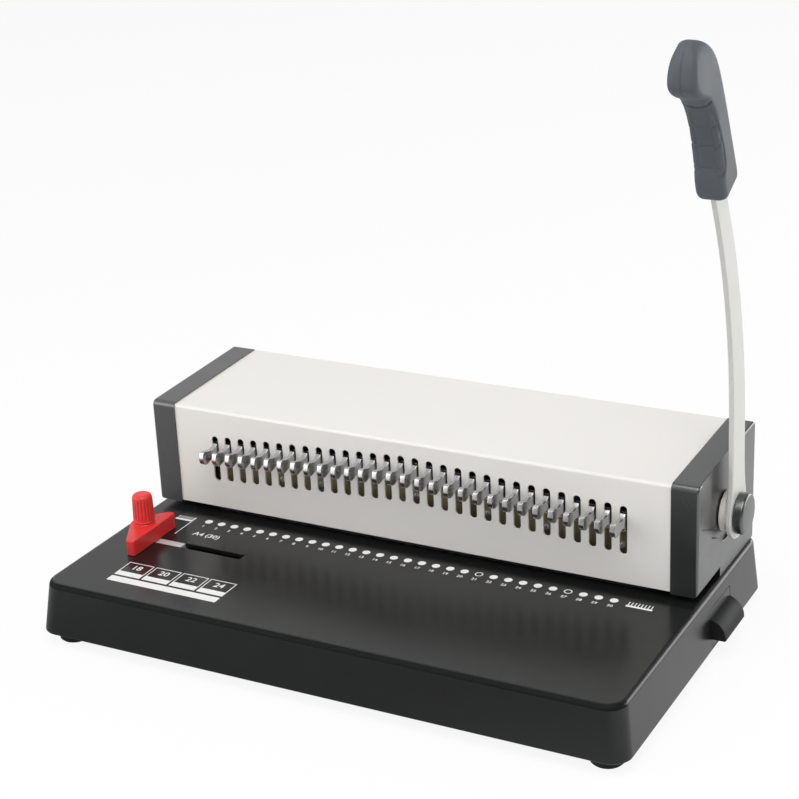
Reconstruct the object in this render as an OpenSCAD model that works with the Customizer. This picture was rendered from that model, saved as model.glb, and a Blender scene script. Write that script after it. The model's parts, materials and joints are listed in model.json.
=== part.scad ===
// Hand-lever binding punch: a row of punch pins and opening hooks in a covered frame on a flat base.
// +X points to the lever side, +Y to the back and +Z up. The origin lies on the desk,
// under the middle of the overall box. All sizes are in millimetres.

/* [Punch row] */
// Number of punch pins, slots and hooks
hole_count = 30; // [10:2:34]
// Distance from one pin to the next
hole_pitch = 9.5; // [8.5:0.1:12]
// Radius of a punch pin
pin_r = 2.75; // [2:0.05:3]
// Radius of the head that holds a pin in the punch bar
pin_head_r = 3.4; // [3.2:0.05:3.5]
// Radial clearance of the pins in the guide and die holes
pin_fit = 0.05; // [0.02:0.01:0.1]
// How much higher the middle pins' tips stand than the outer ones
pin_stagger = 2.5; // [0:0.1:3]
// Distance from the front panel's face back to the pin row
row_setback = 15; // [14:0.5:20]
// Distance from the pin row back to the paper stop
paper_margin = 5.5; // [4.5:0.1:7]
// Distance from the last pin to the end of the cover
row_end_margin = 28.75; // [27.5:0.25:40]

/* [Base] */
// Distance from the base's front foot edge to the front panel
front_shelf = 129; // [105:1:150]
// Width of the step that the base's foot leaves beside the end caps
base_ledge = 6.5; // [5:0.1:10]
// Width of the step that the base leaves behind the cover
rear_ledge = 3; // [2:0.1:8]
// Height of the base housing without its feet
base_h = 32.5; // [31:0.5:46]
// How far the front and the sides lean in from the foot to the top
base_draft = 3.5; // [0:0.1:4.5]
// Radius of the base's upright corners
base_corner_r = 12; // [9:0.5:16]
// Radius of the rounding along the base's top edge
base_edge_r = 4.5; // [2:0.1:5]
// Wall thickness of the base housing
base_wall = 3; // [2.5:0.1:4]
// Thickness of the bottom plate
bottom_t = 1.5; // [1:0.1:2.5]
// Height at which the rubber feet hold the base off the desk
foot_h = 7.5; // [4:0.1:10]
// Radius of a rubber foot
foot_r = 9.5; // [6:0.5:11]
// Distance from a foot's axis to the base's sides
foot_inset = 16; // [15:0.5:26]

/* [Cover] */
// Depth of the cover from its front to its back
cover_d = 99; // [92:1:120]
// How much higher the cover's rear edge stands than its front edge
cover_rise = 3.5; // [0:0.1:6]
// Height left above the middle slots
cover_headroom = 9.4; // [6:0.1:20]
// Sheet thickness of the cover
cover_t = 1.5; // [1:0.1:2]
// Outer radius of the cover's two bends
cover_bend_r = 3; // [2.2:0.1:8]
// Height of the paper throat between the base and the front panel
throat_h = 4.8; // [4.5:0.1:6]
// Width of an end cap
cap_w = 16.5; // [15:0.5:25]
// Wall thickness of an end cap
cap_wall = 2.5; // [2:0.1:3.5]
// How far the end caps stand proud of the cover's front and top
cap_proud = 1; // [0:0.1:3]
// Bevel around an end cap's outer face
cap_bevel = 2.5; // [1:0.1:4]
// Height of the paper gap under the front part of an end cap
cap_notch_h = 3.8; // [2:0.1:4.5]
// Length of that gap from the cap's front
cap_notch_d = 39; // [30:1:45]
// Depth of the shallow pocket around the lever's hub
pocket_depth = 1.5; // [1:0.1:2]

/* [Hooks] */
// Width of a slot in the front panel
slot_w = 4.5; // [4:0.1:6]
// Length of a slot
slot_h = 30.2; // [29:0.1:36]
// Height of the outer slots' top above the base
slot_top = 53.2; // [52:0.1:62]
// How much higher the middle slots stand than the outer ones
chevron_rise = 8.4; // [0:0.1:12]
// Thickness of a hook
hook_t = 3; // [2:0.1:3.5]
// How far the hooks reach out of the front panel
hook_reach = 17; // [15:0.5:24]
// Thickness of the plate that carries the hooks
hook_plate_t = 2.5; // [2:0.1:2.8]
// Distance from the slot's top down to the hook's root
hook_drop = 4.5; // [3:0.1:6]
// Height of the hook's root
hook_root_h = 12.5; // [10:0.1:13]

/* [Drive] */
// Distance from the front panel's face back to the drive shaft
pivot_setback = 47; // [46:0.5:56]
// Height of the drive shaft above the base
pivot_up = 38.5; // [37:0.5:46]
// Radius of the drive shaft
shaft_r = 6; // [5:0.1:6.2]
// Radial clearance of the shaft in its bushes
shaft_fit = 0.05; // [0.02:0.01:0.1]
// Swing of the lever from upright to fully pulled, in degrees
lever_throw = 75; // [60:1:76]
// Tooth module of the punch pinions
punch_module = 1; // [0.9:0.05:1.1]
// Tooth module of the hook pinions
hook_module = 1.1; // [0.9:0.05:1.15]
// Play between pinion and rack teeth
tooth_play = 0.3; // [0.2:0.05:0.5]
// Thickness of a side frame
frame_t = 3; // [2:0.1:4]

/* [Lever] */
// Thickness of the lever bar
lever_t = 3; // [2:0.1:5]
// Width of the lever bar at its pivot
lever_w_low = 27; // [26:0.5:32]
// Width of the lever bar below its grip
lever_w_high = 16; // [13:0.5:20]
// Forward lean of the lever's lower part, in degrees
lever_lean = 2.5; // [0:0.5:10]
// Length of the lever's straight lower part
lever_straight = 56.5; // [50:0.5:80]
// Bend radius of the lever's upper part
lever_bend_r = 330; // [280:5:500]
// Forward lean of the grip, in degrees
grip_lean = 26; // [20:0.5:30]
// Straight length between the bend and the grip
grip_seat = 12; // [6:0.5:30]
// Length of the grip
grip_len = 100; // [90:1:120]
// Thickness of the grip
grip_t = 17; // [14:0.5:22]
// Radius of the hub collar behind the lever
hub_r = 12.5; // [11:0.5:14]
// Width of the hub collar
hub_w = 5.5; // [5:0.1:8]
// Radius of the round cap over the pivot
pivot_cap_r = 13.5; // [10:0.5:14]
// Height of the round cap over the pivot
pivot_cap_h = 6; // [5:0.1:7]

/* [Edge guide] */
// Distance from the last pin to the guide's stop face
guide_margin = 15; // [11:0.25:17]
// Distance from the guide's slot to the front panel
guide_setback = 48.7; // [40:0.1:70]
// Width of the guide's slot in the base
guide_slot_w = 6.5; // [6:0.1:8]
// Travel of the guide along its slot
guide_travel = 40; // [20:1:60]
// Length of the guide's stop face
guide_len = 46; // [40:1:60]
// Thickness of the guide's stop bar
guide_bar_t = 6; // [5:0.1:8]
// Height of the guide's stop bar
guide_h = 10; // [8:0.5:14]
// Radius of the clamp stud
stud_r = 2.5; // [2:0.1:2.8]
// Radius of the clamp knob at its foot
knob_r = 6.9; // [5.5:0.1:8.5]
// Height of the clamp knob
knob_h = 18.5; // [15:0.5:26]

/* [Chip tray] */
// Width of the chip tray, front to back
tray_d = 36; // [30:0.5:40]
// Distance from the pin row to the tray's front wall
tray_lead = 6; // [4:0.5:10]
// Wall thickness of the tray
tray_wall = 1.8; // [1.2:0.1:3]
// How far the tray's handle stands out of the base
handle_out = 7; // [5:0.5:8]
// Length of the handle
handle_len = 34; // [24:1:35]

/* [Hidden] */
// Gap between sliding faces of different bodies
slide_gap = 0.3;
// Thickness of the die's flange and of the die's tongue above it
die_flange_t = 3;
// Thickness of the plate that guides the pins
guide_plate_t = 5;
// Height of the punch bar and of the plate that holds the pin heads down
bar_h = 10;
retainer_t = 2.5;
// Depth of the punch bar
bar_d = 10.8;
// Height of a pin's head
pin_head_h = 2;
// Rest height of the outer pins' tips above the throat
pin_lift = 0.5;
// Free height left under the punch bar at the end of its stroke
bar_spare = 1.2;
// Teeth on each pinion, and their pressure angle
pinion_teeth = 16;
tooth_angle = 20;
// Width of a pinion and of its rack
gear_w = 6;
// Radii of the small screws' shanks and heads, and the heads' height
screw_r = 1.5;
screw_head_r = 2.8;
screw_head_h = 1.6;
// Smoothness of round parts
round_fn = 64;
hull_fn = 32;

deck = foot_h + base_h;
row_half = (hole_count - 1) / 2 * hole_pitch;
cover_half = row_half + row_end_margin;
cap_x = cover_half + cap_w;
base_w = 2 * (cap_x + base_ledge);
base_d = front_shelf + cover_d + rear_ledge;
panel_y = front_shelf - base_d / 2;
cover_rear = panel_y + cover_d;
cover_h = slot_top + chevron_rise + cover_headroom;
cover_top = deck + cover_h;
pin_y = panel_y + row_setback;
stop_y = pin_y + paper_margin;
pivot_y = panel_y + pivot_setback;
pivot_z = deck + pivot_up;

throw_rad = lever_throw * PI / 180;
punch_pitch_r = pinion_teeth * punch_module / 2;
hook_pitch_r = pinion_teeth * hook_module / 2;
punch_travel = punch_pitch_r * throw_rad;
hook_travel = hook_pitch_r * throw_rad;

throat_top = deck + throat_h;
guide_top = throat_top + guide_plate_t;
bar_z = guide_top + punch_travel + bar_spare;
bar_y0 = pin_y - bar_d / 2;
bar_y1 = pin_y + bar_d / 2;
bar_top = bar_z + bar_h;
retainer_top = bar_top + retainer_t;

// The hook plate runs between the front panel and the backing plate.
hook_plate_y = panel_y + cover_t + 1.1;
backing_t = 1.5;
backing_y = bar_y0 - 0.8 - backing_t;
hook_z_top = deck + slot_top - hook_drop;
hook_z_low = hook_z_top - hook_root_h;

// The side frames stand inside the cover's ends, with the gears just inside them.
frame_x1 = cover_half - 3.5;
frame_x0 = frame_x1 - frame_t;
punch_gear_x = frame_x0 - 2 - gear_w;
hook_gear_x = punch_gear_x - 3 - gear_w;
bush_flange_t = 2;
bush_wall = 2;

// The lever side, from the cap's outer face outwards.
pocket_x = cap_x - pocket_depth;
hub_x = pocket_x + 0.5;
lever_x = hub_x + hub_w;
lever_x1 = lever_x + lever_t;
lever_mid_x = lever_x + lever_t / 2;
side_reach = max(lever_mid_x + grip_t / 2, lever_x1 + pivot_cap_h, base_w / 2 + handle_out);
origin_shift = (base_w / 2 - side_reach) / 2;

// The chip tray and its mouth in the base's side.
tray_y0 = pin_y - tray_lead;
tray_y1 = tray_y0 + tray_d;
tray_z0 = foot_h + bottom_t + slide_gap;
tray_top = deck - base_wall - die_flange_t - screw_head_h - 1;
tray_x0 = -row_half - 10;
side_x = base_w / 2 - base_draft;

// The edge guide at its outer rest place.
guide_y = panel_y - guide_setback;
guide_stop_x = row_half + guide_margin;
guide_x = -guide_stop_x - guide_bar_t / 2;
boss_r = 9;
tongue_back = 13;
tongue_front = 21;
slider_t = 1.8;

// Shared helpers
function row_x(i) = (i - (hole_count - 1) / 2) * hole_pitch;
function chevron(x) = chevron_rise * (1 - abs(x) / row_half);
function stagger(x) = pin_stagger * (1 - abs(x) / row_half);

module placed() {
    translate([origin_shift, 0, 0]) children();
}

module both_sides() {
    children();
    mirror([1, 0, 0]) children();
}

module block(x0, x1, y0, y1, z0, z1) {
    translate([x0, y0, z0]) cube([x1 - x0, y1 - y0, z1 - z0]);
}

module x_rod(r, x0, x1, y, z) {
    translate([x0, y, z]) rotate([0, 90, 0]) cylinder(r = r, h = x1 - x0, $fn = round_fn);
}

module y_rod(r, x, y0, y1, z) {
    translate([x, y0, z]) rotate([-90, 0, 0]) cylinder(r = r, h = y1 - y0, $fn = round_fn);
}

module z_rod(r, x, y, z0, z1) {
    translate([x, y, z0]) cylinder(r = r, h = z1 - z0, $fn = round_fn);
}

// Extrudes an outline drawn in Y and Z along X.
module side_slab(x0, x1) {
    translate([x0, 0, 0]) rotate([90, 0, 90]) linear_extrude(x1 - x0) children();
}

// Extrudes an outline drawn in X and Z along Y.
module front_slab(y0, y1) {
    translate([0, y1, 0]) rotate([90, 0, 0]) linear_extrude(y1 - y0) children();
}

module round_plate(half_x, half_y, r, z0, z1) {
    block(r - half_x, half_x - r, -half_y, half_y, z0, z1);
    block(-half_x, half_x, r - half_y, half_y - r, z0, z1);
    for (sx = [-1, 1], sy = [-1, 1])
        z_rod(r, sx * (half_x - r), sy * (half_y - r), z0, z1);
}

module at_feet() {
    for (sx = [-1, 1], sy = [-1, 1])
        translate([sx * (base_w / 2 - foot_inset), sy * (base_d / 2 - foot_inset), 0]) children();
}

// Base housing and what closes it
cavity_x = base_w / 2 - base_draft - base_wall;
cavity_y = base_d / 2 - base_draft - base_wall;
cavity_r = base_corner_r - base_wall;
foot_screw_r = 1.75;
foot_boss_r = 6;
foot_screw_len = 10;

module base_body() {
    hull() {
        for (sx = [-1, 1], sy = [-1, 1]) {
            x = sx * (base_w / 2 - base_corner_r);
            y = sy * (base_d / 2 - base_corner_r);
            translate([x, y, foot_h]) cylinder(r = base_corner_r, h = 1, $fn = hull_fn);
            lean_y = sy < 0 ? base_draft : 0;
            translate([x - sx * base_draft, y + lean_y, deck - base_edge_r])
                rotate_extrude($fn = hull_fn)
                    translate([base_corner_r - base_edge_r, 0]) circle(r = base_edge_r, $fn = hull_fn);
        }
    }
}

module guide_slot() {
    x0 = guide_x - tongue_back - 1;
    x1 = guide_x + tongue_front + guide_travel + 3.5;
    block(x0, x1, guide_y - guide_slot_w / 2, guide_y + guide_slot_w / 2, deck - base_wall - 1, deck + 1);
}

die_half = row_half + 12;
die_half_d = 9;
die_flange_half = die_half + 6;
die_flange_half_d = 14;
die_screw_x = die_half + 3;
die_z = deck - base_wall - die_flange_t;
die_screw_grip = 2;

module at_die_screws() {
    for (sx = [-1, 1], sy = [-1, 1])
        translate([sx * die_screw_x, pin_y + sy * die_half_d, 0]) children();
}

flange_x0 = frame_x0 - 10;
frame_flange_t = 3;
frame_screw_x = (flange_x0 + frame_x0) / 2;
frame_y0 = panel_y + cover_t + 1;
frame_y1 = cover_rear - cover_t - 3.5;
frame_foot_y = stop_y + 8;
frame_top = cover_top - cover_t - 3.5;

module at_frame_screws() {
    span = frame_y1 - frame_foot_y;
    for (sx = [-1, 1], k = [0.15, 0.5, 0.85])
        translate([sx * frame_screw_x, frame_foot_y + k * span, 0]) children();
}

module base_housing() {
    color([0.16, 0.17, 0.17]) placed() difference() {
        union() {
            difference() {
                base_body();
                round_plate(cavity_x, cavity_y, cavity_r, foot_h - 1, deck - base_wall);
            }
            at_feet() z_rod(foot_boss_r, 0, 0, foot_h + bottom_t, deck - base_wall + 0.5);
        }
        at_feet() z_rod(foot_screw_r, 0, 0, foot_h, foot_h + bottom_t + foot_screw_len);
        block(-die_half, die_half, pin_y - die_half_d, pin_y + die_half_d, deck - base_wall - 1, deck + 1);
        guide_slot();
        block(cavity_x - 1, base_w / 2 + 1, tray_y0 - slide_gap, tray_y1 + slide_gap,
            tray_z0 - slide_gap, tray_top + slide_gap);
        at_die_screws() z_rod(screw_r, 0, 0, deck - base_wall - 1, deck - base_wall + die_screw_grip);
        at_frame_screws() z_rod(screw_r, 0, 0, deck - base_wall - 1, deck + 1);
    }
}

module bottom_plate() {
    color([0.3, 0.3, 0.31]) placed() difference() {
        round_plate(cavity_x, cavity_y, cavity_r, foot_h, foot_h + bottom_t);
        at_feet() z_rod(foot_screw_r, 0, 0, foot_h - 1, foot_h + bottom_t + 1);
    }
}

foot_head_r = 3.4;
foot_head_z = 0.8;
foot_head_h = 1.5;

module rubber_feet() {
    color([0.08, 0.08, 0.08]) placed() at_feet() difference() {
        union() {
            cylinder(r1 = foot_r - 1, r2 = foot_r, h = 1, $fn = round_fn);
            z_rod(foot_r, 0, 0, 1, foot_h);
        }
        z_rod(foot_head_r + 0.2, 0, 0, -1, foot_head_z + foot_head_h);
        z_rod(foot_screw_r, 0, 0, -1, foot_h + 1);
    }
}

module foot_screws() {
    color([0.75, 0.75, 0.76]) placed() at_feet() {
        z_rod(foot_head_r, 0, 0, foot_head_z, foot_head_z + foot_head_h);
        z_rod(foot_screw_r, 0, 0, foot_head_z, foot_h + bottom_t + foot_screw_len);
    }
}

// Die, pin guide and paper stop around the throat
module pin_holes(z0, z1) {
    for (i = [0 : hole_count - 1])
        z_rod(pin_r + pin_fit, row_x(i), pin_y, z0, z1);
}

module die_plate() {
    color([0.62, 0.63, 0.65]) placed() difference() {
        union() {
            block(-die_half, die_half, pin_y - die_half_d, pin_y + die_half_d, die_z, deck);
            block(-die_flange_half, die_flange_half, pin_y - die_flange_half_d, pin_y + die_flange_half_d,
                die_z, die_z + die_flange_t);
        }
        pin_holes(die_z - 1, deck + 1);
        at_die_screws() z_rod(screw_r, 0, 0, die_z - 1, deck);
    }
}

module die_screws() {
    color([0.75, 0.75, 0.76]) placed() at_die_screws() {
        z_rod(screw_head_r, 0, 0, die_z - screw_head_h, die_z);
        z_rod(screw_r, 0, 0, die_z - screw_head_h, deck - base_wall + die_screw_grip);
    }
}

guide_plate_d = stop_y + 3.5 - panel_y - cover_t;
guide_screw_z = throat_top + guide_plate_t / 2;
guide_screw_len = 8;

module at_guide_screws() {
    for (k = [0.35, 0.8])
        translate([0, panel_y + cover_t + k * guide_plate_d, guide_screw_z]) children();
}

module pin_guide_plate() {
    color([0.6, 0.61, 0.63]) placed() difference() {
        block(-frame_x0, frame_x0, panel_y + cover_t, panel_y + cover_t + guide_plate_d, throat_top, guide_top);
        pin_holes(throat_top - 1, guide_top + 1);
        both_sides() at_guide_screws() x_rod(screw_r, frame_x0 - guide_screw_len, frame_x0 + 1, 0, 0);
    }
}

module guide_plate_screws() {
    color([0.75, 0.75, 0.76]) placed() both_sides() at_guide_screws() {
        x_rod(screw_head_r - 0.4, frame_x1, frame_x1 + screw_head_h, 0, 0);
        x_rod(screw_r, frame_x0 - guide_screw_len, frame_x1 + screw_head_h, 0, 0);
    }
}

module paper_backstop() {
    color([0.68, 0.69, 0.7]) placed()
        block(-die_half, die_half, stop_y, pin_y + die_half_d, deck, throat_top);
}

// Side frames with the shaft's bushes
bush_r = shaft_r + shaft_fit + bush_wall;
spring_rod_r = 2.5;
spring_rod_y = bar_y1 + 5;
spring_rod_z = frame_top - 7;
cap_screw_depth = 9;
cap_boss_r = 4;
cap_screw_rear = 18;
cap_screw_front = 12;
cap_screw_drop = 10;
cap_screw_rise = 18;

module at_cap_screws() {
    rear = cover_rear - cap_screw_rear;
    high = frame_top - cap_screw_drop;
    for (p = [[rear, deck + cap_screw_rise], [rear, high], [frame_y0 + cap_screw_front, high]])
        translate([0, p[0], p[1]]) children();
}

module frame_plate() {
    difference() {
        union() {
            side_slab(frame_x0, frame_x1) polygon([
                [frame_foot_y, deck],
                [frame_y1, deck],
                [frame_y1, frame_top],
                [frame_y0, frame_top],
                [frame_y0, throat_top],
                [frame_foot_y, throat_top]]);
            block(flange_x0, frame_x0, frame_foot_y, frame_y1, deck, deck + frame_flange_t);
        }
        x_rod(bush_r, frame_x0 - 1, frame_x1 + 1, pivot_y, pivot_z);
        x_rod(spring_rod_r, frame_x0 - 1, frame_x1 + 1, spring_rod_y, spring_rod_z);
        at_guide_screws() x_rod(screw_r, frame_x0 - 1, frame_x1 + 1, 0, 0);
        at_cap_screws() x_rod(screw_r, frame_x0 - 1, frame_x1 + 1, 0, 0);
        at_frame_screws() z_rod(screw_r, 0, 0, deck - 1, deck + frame_flange_t + 1);
    }
}

module left_side_frame() {
    color([0.66, 0.64, 0.5]) placed() mirror([1, 0, 0]) frame_plate();
}

module right_side_frame() {
    color([0.66, 0.64, 0.5]) placed() frame_plate();
}

module frame_screws() {
    color([0.75, 0.75, 0.76]) placed() at_frame_screws() {
        z_rod(screw_head_r, 0, 0, deck + frame_flange_t, deck + frame_flange_t + screw_head_h);
        z_rod(screw_r, 0, 0, deck - base_wall, deck + frame_flange_t + screw_head_h);
    }
}

module shaft_bush() {
    difference() {
        union() {
            x_rod(bush_r, frame_x0, frame_x1, pivot_y, pivot_z);
            x_rod(bush_r + 2.5, frame_x1, frame_x1 + bush_flange_t, pivot_y, pivot_z);
        }
        x_rod(shaft_r + shaft_fit, frame_x0 - 1, frame_x1 + bush_flange_t + 1, pivot_y, pivot_z);
    }
}

module left_shaft_bush() {
    color([0.72, 0.55, 0.28]) placed() mirror([1, 0, 0]) shaft_bush();
}

module right_shaft_bush() {
    color([0.72, 0.55, 0.28]) placed() shaft_bush();
}

// Backing plate behind the hooks, with the screws that show through the slots
backing_half = hook_gear_x - 0.5;
backing_top = hook_z_low + 3;
backing_screw_slots = [5, 8, 15, 20, 24, 29];
backing_screw_shift = 3;

module at_backing_screws() {
    for (i = backing_screw_slots)
        if (i < hole_count)
            translate([row_x(i) - backing_screw_shift, 0, deck + slot_top + chevron(row_x(i)) - slot_h + 2.5])
                children();
}

module backing_plate() {
    color([0.45, 0.43, 0.25]) placed() difference() {
        union() {
            front_slab(backing_y, backing_y + backing_t) polygon([
                [-backing_half, guide_top],
                [backing_half, guide_top],
                [backing_half, backing_top],
                [0, backing_top + chevron_rise],
                [-backing_half, backing_top]]);
            block(-backing_half, backing_half, panel_y + cover_t, backing_y, guide_top, guide_top + backing_t);
        }
        at_backing_screws() y_rod(screw_r, 0, backing_y - 1, backing_y + backing_t + 1, 0);
    }
}

module backing_plate_screws() {
    head_y = hook_plate_y + hook_plate_t + 0.5;
    color([0.8, 0.8, 0.81]) placed() at_backing_screws() {
        y_rod(screw_head_r - 0.8, 0, head_y, backing_y, 0);
        y_rod(screw_r, 0, head_y, backing_y + backing_t, 0);
    }
}

// Rear rail that the cover is screwed to
rail_t = 1.5;
rail_h = 14;
rail_foot_d = 14;
rail_half = flange_x0 - 2;

module at_cover_screws() {
    for (k = [-0.85, 0, 0.85])
        translate([k * rail_half, 0, deck + rail_h / 2 + 1]) children();
}

module rear_rail() {
    y1 = cover_rear - cover_t;
    color([0.66, 0.64, 0.5]) placed() difference() {
        union() {
            block(-rail_half, rail_half, y1 - rail_t, y1, deck, deck + rail_h);
            block(-rail_half, rail_half, y1 - rail_foot_d, y1 - rail_t, deck, deck + rail_t);
        }
        at_cover_screws() y_rod(screw_r, 0, y1 - rail_t - 1, y1 + 1, 0);
    }
}

module cover_screws() {
    color([0.75, 0.75, 0.76]) placed() at_cover_screws() {
        y_rod(screw_head_r, 0, cover_rear, cover_rear + screw_head_h, 0);
        y_rod(screw_r, 0, cover_rear - cover_t - rail_t, cover_rear + screw_head_h, 0);
    }
}

// Return springs between the rod above and the ears of the pin retainer
spring_x = 0.7 * row_half;
spring_r = 4;
spring_wire = 1;

module spring_rod() {
    color([0.7, 0.71, 0.72]) placed() x_rod(spring_rod_r, -frame_x1, frame_x1, spring_rod_y, spring_rod_z);
}

module return_springs() {
    color([0.5, 0.5, 0.52]) placed() both_sides() difference() {
        z_rod(spring_r, spring_x, spring_rod_y, retainer_top, spring_rod_z - spring_rod_r);
        z_rod(spring_r - spring_wire, spring_x, spring_rod_y, retainer_top - 1, spring_rod_z);
    }
}

// Cover and end caps
cover_slope = atan(cover_rise / (cover_d - 2 * cover_bend_r));

module cover_outline(inset) {
    r = max(cover_bend_r - inset, 0.5);
    y0 = panel_y + inset;
    y1 = cover_rear - inset;
    front = [y0 + r, cover_top - inset - r];
    rear = [y1 - r, cover_top + cover_rise - inset - r];
    rise = r * [-sin(cover_slope), cos(cover_slope)];
    polygon([[y0, deck], [y1, deck], [y1, rear[1]], rear + rise, front + rise, [y0, front[1]]]);
    translate(front) circle(r = r, $fn = round_fn);
    translate(rear) circle(r = r, $fn = round_fn);
}

module panel_slot(x) {
    top = deck + slot_top + chevron(x) - slot_w / 2;
    low = top - slot_h + slot_w;
    block(x - slot_w / 2, x + slot_w / 2, panel_y - 1, panel_y + cover_t + 1, low, top);
    y_rod(slot_w / 2, x, panel_y - 1, panel_y + cover_t + 1, top);
    y_rod(slot_w / 2, x, panel_y - 1, panel_y + cover_t + 1, low);
}

module top_cover() {
    color([0.93, 0.92, 0.88]) placed() difference() {
        side_slab(-cover_half, cover_half) difference() {
            cover_outline(0);
            cover_outline(cover_t);
            translate([panel_y - 1, deck - 1]) square([cover_d / 2, throat_h + 1]);
        }
        for (i = [0 : hole_count - 1])
            panel_slot(row_x(i));
        at_cover_screws() y_rod(screw_r, 0, cover_rear - cover_t - 1, cover_rear + 1, 0);
    }
}

cap_front = panel_y - cap_proud;
cap_top = cover_top + cap_proud;

module cap_outline(inset) {
    polygon([[cap_front + inset, deck], [cover_rear - inset, deck],
        [cover_rear - inset, cap_top + cover_rise - inset], [cap_front + inset, cap_top - inset]]);
}

module cap_body() {
    hull() {
        side_slab(cover_half, cap_x - cap_bevel) cap_outline(0);
        side_slab(cover_half, cap_x) cap_outline(cap_bevel);
    }
}

module cap_shell() {
    difference() {
        union() {
            difference() {
                cap_body();
                block(cover_half - 1, cap_x - cap_wall - pocket_depth, cap_front + cap_wall,
                    cover_rear - cap_wall, deck - 1, cap_top - cap_wall - 5);
                side_slab(cover_half - 1, cap_x - cap_wall - pocket_depth) cap_outline(cap_wall);
            }
            at_cap_screws() x_rod(cap_boss_r, frame_x1, cap_x - cap_wall, 0, 0);
        }
        block(cover_half - 1, cap_x + 1, cap_front - 1, cap_front + cap_notch_d, deck - 1, deck + cap_notch_h);
        at_cap_screws() x_rod(screw_r, frame_x1 - 1, frame_x1 + cap_screw_depth, 0, 0);
    }
}

// Pocket with a rounded foot around the hub, open at the cap's top
pocket_r = 24;
pocket_front = 6;

module hub_pocket() {
    side_slab(pocket_x, cap_x + 1) {
        translate([pivot_y, pivot_z]) circle(r = pocket_r, $fn = round_fn);
        translate([cap_front + pocket_front, pivot_z])
            square([pivot_y + pocket_r - cap_front - pocket_front, cap_top + cover_rise - pivot_z + 1]);
    }
}

module left_end_cap() {
    color([0.27, 0.28, 0.29]) placed() mirror([1, 0, 0]) cap_shell();
}

module right_end_cap() {
    color([0.27, 0.28, 0.29]) placed() difference() {
        cap_shell();
        hub_pocket();
        x_rod(shaft_r + 1, cover_half, cap_x + 1, pivot_y, pivot_z);
    }
}

module cap_screws() {
    color([0.75, 0.75, 0.76]) placed() both_sides() at_cap_screws() {
        x_rod(screw_head_r, frame_x0 - screw_head_h, frame_x0, 0, 0);
        x_rod(screw_r, frame_x0 - screw_head_h, frame_x1 + cap_screw_depth, 0, 0);
    }
}

// Drive shaft with its pinions
ring_t = 1.7;
ring_x = frame_x1 + bush_flange_t + slide_gap;
shaft_end = 3;

module drive_shaft() {
    color([0.7, 0.71, 0.72]) placed() x_rod(shaft_r, -ring_x - ring_t - 1, lever_x1 + shaft_end, pivot_y, pivot_z);
}

module shaft_rings() {
    color([0.2, 0.2, 0.21]) placed() both_sides() difference() {
        x_rod(shaft_r + 2.5, ring_x, ring_x + ring_t, pivot_y, pivot_z);
        x_rod(shaft_r, ring_x - 1, ring_x + ring_t + 1, pivot_y, pivot_z);
    }
}

function involute(angle) = tan(angle) - angle * PI / 180;
function flank_angle(pitch_r, play, r) =
    let (base_r = pitch_r * cos(tooth_angle))
    let (here = involute(acos(min(1, base_r / r))))
    90 / pinion_teeth + (involute(tooth_angle) - here - play / 2 / pitch_r) * 180 / PI;
function polar(r, a) = [r * cos(a), r * sin(a)];

module pinion_outline(m) {
    pitch_r = pinion_teeth * m / 2;
    root_r = pitch_r - 1.25 * m;
    start_r = pitch_r * cos(tooth_angle);
    steps = 5;
    radii = [for (k = [0 : steps]) start_r + (pitch_r + m - start_r) * k / steps];
    half = [for (r = radii) flank_angle(pitch_r, tooth_play, r)];
    polygon([for (t = [0 : pinion_teeth - 1])
        let (a = 360 * t / pinion_teeth)
        each concat(
            [polar(root_r, a - half[0])],
            [for (k = [0 : steps]) polar(radii[k], a - half[k])],
            [for (k = [0 : steps]) polar(radii[steps - k], a + half[steps - k])],
            [polar(root_r, a + half[0])])]);
}

module pinion(x0, m) {
    difference() {
        side_slab(x0, x0 + gear_w) translate([pivot_y, pivot_z]) pinion_outline(m);
        x_rod(shaft_r, x0 - 1, x0 + gear_w + 1, pivot_y, pivot_z);
    }
}

module punch_pinions() {
    color([0.55, 0.56, 0.58]) placed() both_sides() pinion(punch_gear_x, punch_module);
}

module hook_pinions() {
    color([0.55, 0.56, 0.58]) placed() both_sides() pinion(hook_gear_x, hook_module);
}

// Lever outside the right end cap
lever_arc = grip_lean - lever_lean;
tang_len = 0.6 * grip_len;
tang_w = 10;
lever_steps = 14;
knee = [pivot_y - lever_straight * sin(lever_lean), pivot_z + lever_straight * cos(lever_lean)];
function lever_point(a) = knee + lever_bend_r * [cos(a) - cos(lever_lean), sin(a) - sin(lever_lean)];
function across(a) = [cos(a), sin(a)];
function lever_width(k) = lever_w_high + (lever_w_low - lever_w_high) * 0.42 * pow(1 - k, 2);
function along(a) = [-sin(a), cos(a)];
grip_foot = lever_point(grip_lean) + grip_seat * along(grip_lean);
foot_inlay = 0.4;
hub_flat = 9;
set_screw_r = 2;
set_screw_out = 5;

module lever_outline() {
    turns = [for (k = [0 : lever_steps]) k / lever_steps];
    front = [for (k = turns) let (a = lever_lean + lever_arc * k) lever_point(a) - across(a) * lever_width(k) / 2];
    rear = [for (k = turns) let (a = lever_lean + lever_arc * k) lever_point(a) + across(a) * lever_width(k) / 2];
    side = across(lever_lean) * (lever_w_low / 2 - foot_inlay);
    seat = across(grip_lean) * lever_w_high / 2;
    polygon(concat(
        [[pivot_y, pivot_z] - side],
        front,
        [grip_foot - seat],
        [grip_foot + seat],
        [for (k = [lever_steps : -1 : 0]) rear[k]],
        [[pivot_y, pivot_z] + side]));
}

module tang_outline() {
    translate(grip_foot) rotate(grip_lean) translate([-tang_w / 2, -1]) square([tang_w, tang_len + 1]);
}

module lever_solid() {
    side_slab(lever_x, lever_x1) lever_outline();
    side_slab(lever_x, lever_x1) tang_outline();
    x_rod(lever_w_low / 2, lever_x, lever_x1, pivot_y, pivot_z);
}

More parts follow.
